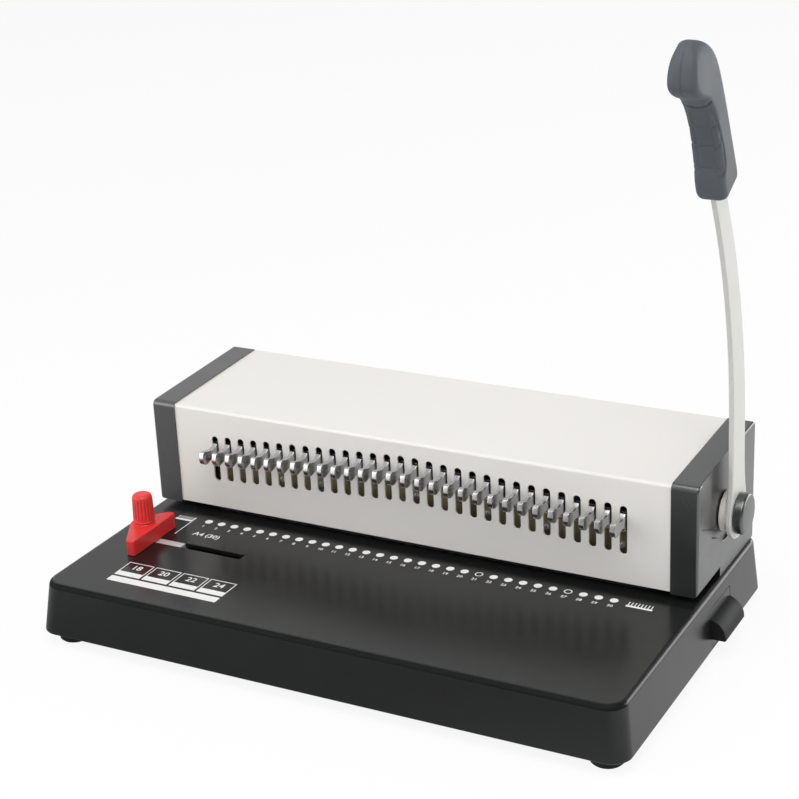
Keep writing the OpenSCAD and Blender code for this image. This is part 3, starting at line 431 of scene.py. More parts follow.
def along_table(table, u):
    """Smooth value of a table of (place, value) rows at a place."""
    if u <= table[0][0]:
        return table[0][1]
    for k in range(len(table) - 1):
        (u0, v0), (u1, v1) = table[k], table[k + 1]
        if u <= u1:
            before = table[max(k - 1, 0)]
            after = table[min(k + 2, len(table) - 1)]
            m0 = (v1 - before[1]) / max(u1 - before[0], 1e-9)
            m1 = (after[1] - v0) / max(after[0] - u0, 1e-9)
            h = u1 - u0
            t = (u - u0) / h
            return ((2 * t ** 3 - 3 * t ** 2 + 1) * v0 + (t ** 3 - 2 * t ** 2 + t) * h * m0
                    + (3 * t ** 2 - 2 * t ** 3) * v1 + (t ** 3 - t ** 2) * h * m1)
    return table[-1][1]


def round_box(half_a, half_b, radius, steps):
    """Outline of a rectangle with rounded corners, from its first corner round."""
    radius = min(radius, half_a * 0.999, half_b * 0.999)
    points = []
    for sign_a, sign_b, start in ((1, 1, 0), (-1, 1, 90), (-1, -1, 180), (1, -1, 270)):
        centre = (sign_a * (half_a - radius), sign_b * (half_b - radius))
        points += arc(centre, radius, start, start + 90, steps)
    return points


def hull_outline(points):
    """The outer line round flat points, counter-clockwise."""
    ordered = sorted(set((round(a, 7), round(b, 7)) for a, b in points))

    def half(run):
        line = []
        for p in run:
            while len(line) > 1 and ((line[-1][0] - line[-2][0]) * (p[1] - line[-2][1])
                                     - (line[-1][1] - line[-2][1]) * (p[0] - line[-2][0])) <= 0:
                line.pop()
            line.append(p)
        return line[:-1]

    return half(ordered) + half(ordered[::-1])


def finished(piece, name, body, material, nodes=()):
    """Names, shades and paints a piece and sets it on its body."""
    if not piece.data.polygons:
        raise RuntimeError(name + " came out without faces")
    piece.name = name
    piece.data.name = name
    activate(piece)
    bpy.ops.object.shade_smooth_by_angle(angle=SMOOTH_ANGLE)
    normals = piece.modifiers.new("normals", "WEIGHTED_NORMAL")
    normals.keep_sharp = True
    bpy.ops.object.modifier_apply(modifier=normals.name)
    piece.data.materials.clear()
    piece.data.materials.append(bpy.data.materials[material])
    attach(piece, body)
    if nodes:
        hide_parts(*nodes)
    deselect()
    return piece


def paint_faces(piece, material, test):
    """Gives some faces of a piece a second finish."""
    activate(piece)
    bpy.ops.object.material_slot_add()
    piece.material_slots[1].material = bpy.data.materials[material]
    edit(piece)
    pick(piece, "FACE", test)
    piece.active_material_index = 1
    bpy.ops.object.material_slot_assign()
    deselect()


# Finishes

def node_group(name, entries, exits):
    """A new shader node group with its sockets, and its two end nodes."""
    group = bpy.data.node_groups.new(name, "ShaderNodeTree")
    for label, kind, default in entries:
        made = group.interface.new_socket(name=label, in_out="INPUT", socket_type="NodeSocket" + kind)
        if default is not None:
            made.default_value = default
    for label in exits:
        group.interface.new_socket(name=label, in_out="OUTPUT", socket_type="NodeSocketFloat")
    return group, group.nodes.new("NodeGroupInput"), group.nodes.new("NodeGroupOutput")


def grain_group():
    """Fine moulded or sprayed grain, and slow mottling of the surface."""
    group, entry, leave = node_group(
        "surface grain",
        (("Vector", "Vector", None), ("Grain scale", "Float", 900.0), ("Mottle scale", "Float", 30.0)),
        ("Height", "Mottle"))
    for scale, detail, result in (("Grain scale", 3, "Height"), ("Mottle scale", 4, "Mottle")):
        texture = group.nodes.new("ShaderNodeTexNoise")
        texture.inputs["Detail"].default_value = detail
        group.links.new(entry.outputs["Vector"], texture.inputs["Vector"])
        group.links.new(entry.outputs[scale], texture.inputs["Scale"])
        group.links.new(texture.outputs["Fac"], leave.inputs[result])


def spread_group():
    """Turns a mottle into a value between two limits."""
    group, entry, leave = node_group(
        "value spread", (("Mottle", "Float", 0.5), ("Low", "Float", 0.4), ("High", "Float", 0.6)), ("Value",))
    spread = group.nodes.new("ShaderNodeMapRange")
    spread.inputs["From Min"].default_value = 0.3
    spread.inputs["From Max"].default_value = 0.7
    for source, target in (("Mottle", "Value"), ("Low", "To Min"), ("High", "To Max")):
        group.links.new(entry.outputs[source], spread.inputs[target])
    group.links.new(spread.outputs["Result"], leave.inputs["Value"])


def brush_group():
    """Fine lines that run along one axis, as on drawn or ground metal."""
    group, entry, leave = node_group(
        "brush lines", (("Vector", "Vector", None), ("Stretch", "Vector", (20.0, 1500.0, 1500.0))),
        ("Lines",))
    stretch = group.nodes.new("ShaderNodeVectorMath")
    stretch.operation = "MULTIPLY"
    lines = group.nodes.new("ShaderNodeTexNoise")
    lines.inputs["Scale"].default_value = 1
    lines.inputs["Detail"].default_value = 4
    group.links.new(entry.outputs["Vector"], stretch.inputs[0])
    group.links.new(entry.outputs["Stretch"], stretch.inputs[1])
    group.links.new(stretch.outputs["Vector"], lines.inputs["Vector"])
    group.links.new(lines.outputs["Fac"], leave.inputs["Lines"])


def shaded(colour_value, factor):
    return (*(min(1.0, c * factor) for c in colour_value[:3]), 1)


def group_node(tree, name):
    node = tree.nodes.new("ShaderNodeGroup")
    node.node_tree = bpy.data.node_groups[name]
    return node


def surface(name, tint, shade, grain, mottle, rough, bump, metal=0.0, specular=0.5, ior=1.5, coat=0.0,
            brushed=None):
    """A finish whose colour, roughness and height follow grain, mottling and brush lines.

    shade is the swing of the colour, grain and mottle are texture scales, rough holds two limits
    and bump a strength and a depth.
    """
    material = bpy.data.materials.new(name)
    material.use_nodes = True
    tree = material.node_tree
    links = tree.links
    shader = tree.nodes["Principled BSDF"]
    place = tree.nodes.new("ShaderNodeTexCoord")
    texture = group_node(tree, "surface grain")
    texture.inputs["Grain scale"].default_value = grain
    texture.inputs["Mottle scale"].default_value = mottle
    links.new(place.outputs["Object"], texture.inputs["Vector"])
    mix = tree.nodes.new("ShaderNodeMix")
    mix.data_type = "RGBA"
    mix.inputs["A"].default_value = shaded(tint, 1 - shade)
    mix.inputs["B"].default_value = shaded(tint, 1 + shade)
    links.new(texture.outputs["Mottle"], mix.inputs["Factor"])
    links.new(mix.outputs["Result"], shader.inputs["Base Color"])
    roughness = group_node(tree, "value spread")
    roughness.inputs["Low"].default_value = rough[0]
    roughness.inputs["High"].default_value = rough[1]
    links.new(roughness.outputs["Value"], shader.inputs["Roughness"])
    relief = tree.nodes.new("ShaderNodeBump")
    relief.inputs["Strength"].default_value = bump[0]
    relief.inputs["Distance"].default_value = bump[1]
    if brushed:
        lines = group_node(tree, "brush lines")
        lines.inputs["Stretch"].default_value = brushed
        links.new(place.outputs["Object"], lines.inputs["Vector"])
        links.new(lines.outputs["Lines"], roughness.inputs["Mottle"])
        links.new(lines.outputs["Lines"], relief.inputs["Height"])
    else:
        links.new(texture.outputs["Mottle"], roughness.inputs["Mottle"])
        links.new(texture.outputs["Height"], relief.inputs["Height"])
    links.new(relief.outputs["Normal"], shader.inputs["Normal"])
    shader.inputs["Metallic"].default_value = metal
    shader.inputs["Specular IOR Level"].default_value = specular
    shader.inputs["IOR"].default_value = ior
    shader.inputs["Coat Weight"].default_value = coat
    return material


def zinc_finish(tint):
    """Yellow zinc plating: olive and gold clouds on sheet."""
    material = surface("yellow zinc plate", tint, 0.25, 700, 90, (0.32, 0.55), (0.08, 0.05 * MM), metal=0.6)
    tree = material.node_tree
    clouds = tree.nodes.new("ShaderNodeTexNoise")
    clouds.inputs["Scale"].default_value = 45
    clouds.inputs["Detail"].default_value = 5
    place = next(node for node in tree.nodes if node.type == "TEX_COORD")
    tree.links.new(place.outputs["Object"], clouds.inputs["Vector"])
    ramp = tree.nodes.new("ShaderNodeValToRGB")
    ramp.color_ramp.elements[0].position = 0.36
    ramp.color_ramp.elements[0].color = shaded(tint, 0.7)
    ramp.color_ramp.elements[1].position = 0.66
    ramp.color_ramp.elements[1].color = (tint[0] * 1.15, tint[1] * 1.2, tint[2] * 1.6, 1)
    tree.links.new(clouds.outputs["Fac"], ramp.inputs["Fac"])
    tree.links.new(ramp.outputs["Color"], tree.nodes["Principled BSDF"].inputs["Base Color"])
    tree.nodes.remove(next(node for node in tree.nodes if node.type == "MIX"))


# Packed nodes that keep their shape, by finish
NODE_FINISHES = {
    "blackened steel": ("bottom_plate", "shaft_rings"),
    "foot rubber": ("rubber_feet",),
    "bright zinc": (
        "foot_screws", "die_screws", "frame_screws", "guide_plate_screws", "return_springs", "cap_screws",
        "retainer_screws", "rack_screws", "hook_rack_screws", "guide_stud"),
    "ground steel": (
        "die_plate", "pin_guide_plate", "paper_backstop", "spring_rod", "drive_shaft", "punch_pinions",
        "hook_pinions", "punch_bar", "punch_pins", "punch_racks", "hook_racks"),
    "yellow zinc plate": (
        "left_side_frame", "right_side_frame", "backing_plate", "rear_rail", "tray_runners", "pin_retainer"),
    "bearing bronze": ("left_shaft_bush", "right_shaft_bush"),
    "slider aluminium": ("guide_slider",),
    "tray plastic": ("chip_tray",),
}


class PUNCH_OT_finishes(bpy.types.Operator):
    """Makes the finishes and paints the pieces that keep their packed shape"""
    bl_idname = "punch.finishes"
    bl_label = "Finishes"

    def execute(self, context):
        tint = context.scene.punch_finishes
        grain_group()
        spread_group()
        brush_group()
        surface("base lacquer", tint.base, 0.12, 1400, 60, (0.21, 0.27), (0.04, 0.05 * MM), specular=0.4)
        # A dull copy of the base lacquer, put on the front's top edge as painted shade
        surface("edge lacquer dulled as painted shade", tint.base, 0.25, 900, 90, (0.45, 0.6), (0.2, 0.06 * MM), specular=0.08)
        # The cover's cream; on the lever's hub it is painted light, lighter than the lever's own cream to
        # lift the hub out of shade
        surface("cream enamel of the cover, painted light on the hub", tint.cover, 0.018, 260, 14, (0.34, 0.42), (0.05, 0.05 * MM), coat=0.15)
        surface("lever enamel", tint.lever, 0.02, 320, 20, (0.32, 0.42), (0.05, 0.05 * MM), coat=0.15)
        surface("cap plastic", tint.cap, 0.08, 1300, 50, (0.26, 0.34), (0.03, 0.05 * MM),
                specular=1.0, ior=1.68)
        # A glossier copy of the cap plastic for the pocket's floors, painted light that lifts them out of the
        # shade of the hub and lever
        surface("pocket plastic with painted light", tint.cap, 0.12, 1100, 50, (0.3, 0.4), (0.05, 0.06 * MM),
                specular=1.0, ior=1.9)
        surface("grip plastic", tint.grip, 0.10, 1100, 60, (0.52, 0.66), (0.16, 0.06 * MM), specular=0.3)
        surface("red plastic", tint.guide, 0.08, 900, 70, (0.30, 0.44), (0.10, 0.05 * MM))
        surface("tray plastic", tint.base, 0.15, 900, 50, (0.45, 0.58), (0.1, 0.05 * MM), specular=0.16)
        surface("white ink", tint.print, 0.04, 1500, 120, (0.45, 0.6), (0.05, 0.02 * MM))
        surface("hook chrome", tint.chrome, 0.12, 700, 260, (0.14, 0.27), (0.16, 0.06 * MM), metal=1.0)
        surface("ground steel", (0.42, 0.42, 0.44), 0.1, 600, 60, (0.26, 0.42), (0.1, 0.03 * MM),
                metal=1.0, brushed=(25, 1800, 1800))
        surface("bright zinc", (0.74, 0.74, 0.74), 0.1, 600, 120, (0.25, 0.4), (0.08, 0.03 * MM), metal=0.7)
        surface("blackened steel", (0.035, 0.035, 0.038), 0.2, 700, 60, (0.35, 0.5), (0.1, 0.03 * MM),
                metal=0.6)
        surface("bearing bronze", (0.52, 0.34, 0.14), 0.15, 900, 80, (0.3, 0.45), (0.1, 0.03 * MM), metal=1.0)
        surface("slider aluminium", (0.74, 0.74, 0.75), 0.05, 600, 60, (0.36, 0.5), (0.08, 0.03 * MM),
                metal=0.5, brushed=(25, 1600, 1600))
        surface("foot rubber", (0.016, 0.016, 0.016), 0.2, 900, 70, (0.7, 0.85), (0.2, 0.06 * MM),
                specular=0.3)
        zinc_finish(tint.zinc)
        for finish, nodes in NODE_FINISHES.items():
            for node in nodes:
                packed = frame["nodes"][node]
                packed.data.materials.clear()
                packed.data.materials.append(bpy.data.materials[finish])
        return {"FINISHED"}


# Pieces

class PUNCH_OT_base(bpy.types.Operator):
    """Models the base housing: a drafted shell with rounded edges, cut for die, guide and tray"""
    bl_idname = "punch.base_housing"
    bl_label = "Base housing"

    # Rim left under the die plate, and reach of the deck's cutters below and above the deck
    DIE_RIM_X, DIE_RIM_Y = 6 * MM, 5 * MM
    BELOW, ABOVE = 8 * MM, 5 * MM
    # Room beyond the slider's two limits, depth of the tray's mouth, and play around the tray
    SLOT_START, SLOT_END = 1 * MM, 3.5 * MM
    MOUTH, PLAY = 12 * MM, 0.3 * MM
    # Part of the right side that the mouth's edge lies in
    SIDE_DEPTH = 2 * MM
    # Tilt of the faces that take the matt finish, a painted shade along the front edge
    TILT_LOW, TILT_HIGH = 0.2, 0.95

    def execute(self, context):
        shape = context.scene.punch_base
        shell = self.shell(shape)
        self.openings(shape, shell)
        outward(shell, merge=0.02 * MM)
        finished(shell, "base_shell", "base", "base lacquer", ["base_housing"])
        self.dull_edge(shape, shell)
        return {"FINISHED"}

    def shell(self, shape):
        """The drafted and rounded housing, hollow from below."""
        size = BASE_HIGH - BASE_LOW
        shell = block(BASE_LOW, BASE_HIGH)
        edit(shell)
        pick(shell, "FACE", lambda face: face.normal.z > 0.9)
        bpy.ops.transform.resize(
            value=(1 - 2 * shape.draft / size.x, 1, 1), center_override=(ROW_X, BASE_HIGH.y, DECK))
        pick(shell, "VERT", lambda vertex: vertex.co.z > DECK - PAST and vertex.co.y < PANEL_Y)
        bpy.ops.transform.translate(value=(0, shape.draft, 0))
        pick(shell, "EDGE", lambda edge: abs(ends(edge)[0].z - ends(edge)[1].z) > 10 * MM)
        bpy.ops.mesh.bevel(offset=shape.corner, segments=10, affect="EDGES")
        pick(shell, "EDGE", lambda edge: lies(edge, 2, DECK))
        bpy.ops.mesh.bevel(offset=shape.edge, segments=8, affect="EDGES")
        pick(shell, "EDGE", lambda edge: lies(edge, 2, BASE_LOW.z))
        bpy.ops.mesh.bevel(offset=shape.foot_edge, segments=4, affect="EDGES")
        inset = shape.wall + shape.draft
        cut(shell, block(BASE_LOW + Vector((inset, inset, -PAST)),
                         BASE_HIGH - Vector((inset, inset, shape.wall))))
        return shell

    def openings(self, shape, shell):
        """Cuts the openings for the die, the edge guide and the tray, and rounds the rims of the last two."""
        floor, roof = DECK - self.BELOW, DECK + self.ABOVE
        die_low, die_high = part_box("die_plate")
        cut(shell, block((die_low.x + self.DIE_RIM_X, die_low.y + self.DIE_RIM_Y, floor),
                         (die_high.x - self.DIE_RIM_X, die_high.y - self.DIE_RIM_Y, roof)))
        slider_low, slider_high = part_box("guide_slider")
        slot_y = (slider_low.y + slider_high.y) / 2
        slot_half = shape.slot_width / 2
        slot_low = Vector((slider_low.x - self.SLOT_START, slot_y - slot_half, floor))
        slot_high = Vector((slider_high.x + GUIDE_TRAVEL + self.SLOT_END, slot_y + slot_half, roof))
        cut(shell, block(slot_low, slot_high))
        tray_low, tray_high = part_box("chip_tray")
        play = Vector((0, self.PLAY, self.PLAY))
        mouth_low = Vector((BASE_HIGH.x - self.MOUTH, tray_low.y, tray_low.z)) - play
        mouth_high = Vector((BASE_HIGH.x + self.ABOVE, tray_high.y, tray_high.z)) + play
        cut(shell, block(mouth_low, mouth_high))
        near = Vector((CLOSE,) * 3)
        bevel_edges(shell, lambda edge: lies(edge, 2, DECK) and sharp(edge)
                    and inside(edge, slot_low - near, slot_high + near), shape.rim, 3)
        face_x = BASE_HIGH.x - self.SIDE_DEPTH
        bevel_edges(shell, lambda edge: min(p.x for p in ends(edge)) > face_x and sharp(edge)
                    and inside(edge, mouth_low - near, mouth_high + near), shape.rim, 3)

    def dull_edge(self, shape, shell):
        """Paints the rounding along the front's top edge with the matt finish, a painted shade that stands in
        for the dark line which the edge reflects.
        """
        rim_y = BASE_LOW.y + shape.draft + shape.corner
        paint_faces(shell, "edge lacquer dulled as painted shade", lambda face: self.TILT_LOW < face.normal.z < self.TILT_HIGH
                    and face.normal.y < -self.TILT_LOW and face.calc_center_median().y < rim_y)


class PUNCH_OT_cover(bpy.types.Operator):
    """Models the bent sheet cover with its chevron row of slots"""
    bl_idname = "punch.top_cover"
    bl_label = "Sheet cover"

    def execute(self, context):
        shape = context.scene.punch_cover
        sheet = block(COVER_LOW, COVER_HIGH)
        edit(sheet)
        pick(sheet, "FACE", lambda face: face.normal.z < -0.9 or abs(face.normal.x) > 0.9)
        bpy.ops.mesh.delete(type="FACE")
        pick(sheet, "VERT", lambda vertex: vertex.co.y < PANEL_Y + PAST and vertex.co.z < DECK + PAST)
        bpy.ops.transform.translate(value=(0, 0, THROAT_TOP - DECK))
        pick(sheet, "VERT", lambda vertex: vertex.co.y < PANEL_Y + PAST
             and vertex.co.z > COVER_HIGH.z - PAST)
        bpy.ops.transform.translate(value=(0, 0, -shape.slope))
        pick(sheet, "EDGE", lambda edge: lengthwise(edge) and ends(edge)[0].z > DECK + 30 * MM)
        bpy.ops.mesh.bevel(offset=shape.bend, segments=8, affect="EDGES")
        bpy.ops.object.mode_set(mode="OBJECT")
        thick = sheet.modifiers.new("sheet", "SOLIDIFY")
        thick.thickness = shape.sheet
        thick.offset = -1
        thick.use_even_offset = True
        activate(sheet)
        bpy.ops.object.modifier_apply(modifier=thick.name)
        cut(sheet, self.slots(shape))
        top = DECK + shape.slot_top
        low = Vector((row_x(0) - HOLE_PITCH / 2, PANEL_Y - PAST, top - shape.slot_length - PAST))
        high = Vector((row_x(HOLE_COUNT - 1) + HOLE_PITCH / 2, PANEL_Y + shape.sheet / 2,
                       top + shape.rise + PAST))
        bevel_edges(sheet, lambda edge: sharp(edge) and inside(edge, low, high) and lies(edge, 1, PANEL_Y),
                    shape.rim, 2)
        finished(sheet, "cover_sheet", "base", "cream enamel of the cover, painted light on the hub", ["top_cover"])
        return {"FINISHED"}

    def slots(self, shape):
        """One round-ended cutter, copied along the row."""
        radius = shape.slot_width / 2
        foot = DECK + shape.slot_top - shape.slot_length + radius
        sides, depth = 24, 12 * MM
        deselect()
        bpy.ops.mesh.primitive_cylinder_add(
            vertices=sides, radius=radius, depth=depth, location=(row_x(0), PANEL_Y, foot),
            rotation=(math.pi / 2, 0, 0))
        first = bpy.context.active_object
        first.rotation_euler.rotate_axis("Z", math.pi / sides)
        place_applied(first)
        edit(first)
        pick(first, "VERT", lambda vertex: vertex.co.z > foot)
        bpy.ops.transform.translate(value=(0, 0, shape.slot_length - shape.slot_width))
        bpy.ops.object.mode_set(mode="OBJECT")
        return joined(row_of(first, shape.rise))


class PUNCH_OT_caps(bpy.types.Operator):
    """Models the two moulded end caps, the right one with the hub's pocket"""
    bl_idname = "punch.end_caps"
    bl_label = "End caps"

    # Depths under the outer face between which the pocket's floor lies
    FLOOR_NEAR, FLOOR_FAR = 0.5 * MM, 2 * MM
    # Heights of the pocket's corners from the pivot, and the angle where its rounded foot begins
    SHALLOW_FRONT, SHALLOW_BACK, DEEP_FRONT = 5 * MM, -2 * MM, -6.9 * MM
    FOOT_START = -141
    # Share of the pocket's depth that its front step has, and how far the two steps overlap
    SHALLOW_SHARE, OVERLAP = 0.55, 2 * MM
    # Radius of the hole for the shaft, and rounding of the pocket's rim
    SHAFT_HOLE, POCKET_RIM = 7 * MM, 0.4 * MM

    def execute(self, context):
        shape = context.scene.punch_cover
        for node, name, side in (("left_end_cap", "cap_left", -1), ("right_end_cap", "cap_right", 1)):
            self.cap(shape, node, name, side)
        return {"FINISHED"}

    def cap(self, shape, node, name, side):
        low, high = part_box(node)
        inner = COVER_HIGH.x if side > 0 else COVER_LOW.x
        outer = high.x if side > 0 else low.x
        low.x, high.x = min(inner, outer), max(inner, outer)
        cap = block(low, high)
        edit(cap)
        pick(cap, "VERT", lambda vertex: vertex.co.y < low.y + PAST and vertex.co.z > high.z - PAST)
        bpy.ops.transform.translate(value=(0, 0, -shape.slope))
        bevel_edges(cap, lambda edge: lengthwise(edge) and ends(edge)[0].z > low.z + 20 * MM,
                    shape.cap_round, 6)
        bevel_edges(cap, lambda edge: lies(edge, 0, outer) and sharp(edge) and not lies(edge, 2, low.z),
                    shape.cap_bevel, 3)
        wall = shape.cap_wall
        skin = wall + shape.pocket_depth
        inside_low = Vector((inner - PAST if side > 0 else outer + skin, low.y + wall, low.z - PAST))
        inside_high = Vector((outer - skin if side > 0 else inner + PAST, high.y - wall,
                              high.z - shape.slope - wall))
        cut(cap, block(inside_low, inside_high))
        cut(cap, block((low.x - PAST, low.y - PAST, low.z - PAST),
                       (high.x + PAST, low.y + shape.notch_depth, low.z + shape.notch_height)))
        self.round_foot(shape, cap, low, outer, side)
        if side > 0:
            self.pocket(shape, cap, low, high)
        finished(cap, name, "base", "cap plastic", [node])
        # The pocket's floors take the glossier copy of the cap plastic, as painted light against their shade
        if side > 0:
            paint_faces(cap, "pocket plastic with painted light", lambda face: face.normal.x > 0.9
                        and self.FLOOR_NEAR < outer - face.calc_center_median().x < self.FLOOR_FAR)

    def round_foot(self, shape, cap, low, outer, side):
        """Rounds the cap's outer corner above the paper gap."""
        radius = shape.cap_foot
        foot = low.z + shape.notch_height
        curve = arc((outer - side * radius, foot + radius), radius, -90, 0 if side > 0 else -180, 8)
        outline = [(outer + side * PAST, foot - PAST), (outer - side * radius, foot - PAST), *curve,
                   (outer + side * PAST, foot + radius)]
        cut(cap, slab([Vector((x, low.y - PAST, z)) for x, z in outline],
                      (0, shape.notch_depth + PAST, 0)))

    def pocket(self, shape, cap, low, high):
        """Cuts the stepped pocket around the hub, open to the top, and the shaft's hole."""
        outer = high.x
        roof = high.z + PAST
        front = low.y + shape.pocket_front
        step = PIVOT.y - shape.pocket_step
        around = arc((PIVOT.y, PIVOT.z), shape.pocket_radius, self.FOOT_START, 0, 28)
        shallow = [(front, roof), (front, PIVOT.z + self.SHALLOW_FRONT),
                   (step + self.OVERLAP, PIVOT.z + self.SHALLOW_BACK), (step + self.OVERLAP, roof)]
        deep = [(step, roof), (step, PIVOT.z + self.DEEP_FRONT), *around,
                (PIVOT.y + shape.pocket_radius, roof)]
        for outline, share in ((shallow, self.SHALLOW_SHARE), (deep, 1)):
            foot_x = outer - share * shape.pocket_depth
            cut(cap, slab([Vector((foot_x, y, z)) for y, z in outline], (8 * MM, 0, 0)))
        cut(cap, rod(self.SHAFT_HOLE, (low.x - PAST, PIVOT.y, PIVOT.z), 40 * MM, "X"))
        near_low = Vector((outer - shape.pocket_depth, low.y + 4 * MM, PIVOT.z - 30 * MM))
        near_high = Vector((outer + CLOSE, high.y - 4 * MM, high.z - 6 * MM))
        bevel_edges(cap, lambda edge: sharp(edge) and inside(edge, near_low, near_high)
                    and right_of(edge, outer - 0.7 * shape.pocket_depth), self.POCKET_RIM, 3)


class PUNCH_OT_hooks(bpy.types.Operator):
    """Models one chromed hook, copies it along the chevron and adds the plate that carries them"""
    bl_idname = "punch.hook_comb"
    bl_label = "Hooks"

    # Thickness and edge of the plate that carries the hooks
    PLATE = 2.5 * MM
    PLATE_EDGE = 0.3 * MM

    def execute(self, context):
        shape = context.scene.punch_hooks
        rise = context.scene.punch_cover.rise
        top = DECK + context.scene.punch_cover.slot_top - shape.drop
        low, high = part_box("hook_comb")
        hook = self.hook(shape, top, high.y)
        plate = self.plate(shape, top, rise, low.x, high.x, high.y)
        comb = joined([plate, *row_of(hook, rise)])
        finished(comb, "hook_row", "hooks", "hook chrome", ["hook_comb"])
        return {"FINISHED"}

    def hook(self, shape, top, back):
        """The first hook: a root behind the panel and a free part that bows forward and turns down."""
        reach = shape.reach / MM
        # Forward distance and height of the free part, in mm from the panel and the root's top
        free = [(0, -0.3), (2.5, -1.4), (5.5, -2.0), (0.5 * reach, -1.6), (0.7 * reach, -0.6),
                (0.84 * reach, 0.1), (0.91 * reach, -0.3), (0.95 * reach, -1.4), (0.985 * reach, -3.4),
                (reach, -4.8), (0.97 * reach, -6.4), (0.9 * reach, -8.2), (0.76 * reach, -9.2),
                (0.55 * reach, -8.4), (0.35 * reach, -7.6), (3.5, -7.6), (1.5, -8.6), (0, -11)]
        steps = 3
        curve = flow(free, steps)[:steps * (len(free) - 1) + 1]
        outline = [(PANEL_Y - f * MM, top + z * MM) for f, z in curve]
        outline = [(back, top), *outline, (back, top - shape.root)]
        left = row_x(0) - shape.thickness / 2
        right = left + shape.thickness
        hook = slab([Vector((left, y, z)) for y, z in outline], (shape.thickness, 0, 0))
        bevel_edges(hook, lambda edge: sharp(edge) and (lies(edge, 0, left) or lies(edge, 0, right)),
                    shape.edge, 3)
        return hook

    def plate(self, shape, top, rise, low_x, high_x, back):
        """The plate behind the panel that carries the hooks and follows their chevron."""
        line = ((low_x, 0), (row_x(0), 0), (ROW_X, rise), (row_x(HOLE_COUNT - 1), 0), (high_x, 0))
        foot = top - shape.root
        outline = [(x, foot + z) for x, z in line] + [(x, top + z) for x, z in reversed(line)]
        front = back - self.PLATE
        plate = slab([Vector((x, front, z)) for x, z in outline], (0, back - front, 0))
        bevel_edges(plate, sharp, self.PLATE_EDGE, 2)
        return plate


def bend_length(shape):
    """Length of the lever's bent part."""
    return shape.bend * (shape.grip_lean - shape.lean)


def lever_place(shape, run):
    """Point (y, z) on the lever's middle line and the lean there, at a run from the pivot."""
    knee = (PIVOT.y - shape.straight * math.sin(shape.lean), PIVOT.z + shape.straight * math.cos(shape.lean))
    bent = bend_length(shape)
    if run <= shape.straight:
        return (PIVOT.y - run * math.sin(shape.lean), PIVOT.z + run * math.cos(shape.lean)), shape.lean
    lean = shape.lean + min(run - shape.straight, bent) / shape.bend
    y = knee[0] + shape.bend * (math.cos(lean) - math.cos(shape.lean))
    z = knee[1] + shape.bend * (math.sin(lean) - math.sin(shape.lean))
    rest = max(0.0, run - shape.straight - bent)
    return (y - rest * math.sin(lean), z + rest * math.cos(lean)), lean


def grip_frame(shape):
    """Foot of the grip (y, z) on the lever's line, and the lean there."""
    return lever_place(shape, shape.straight + bend_length(shape) + shape.grip_seat)


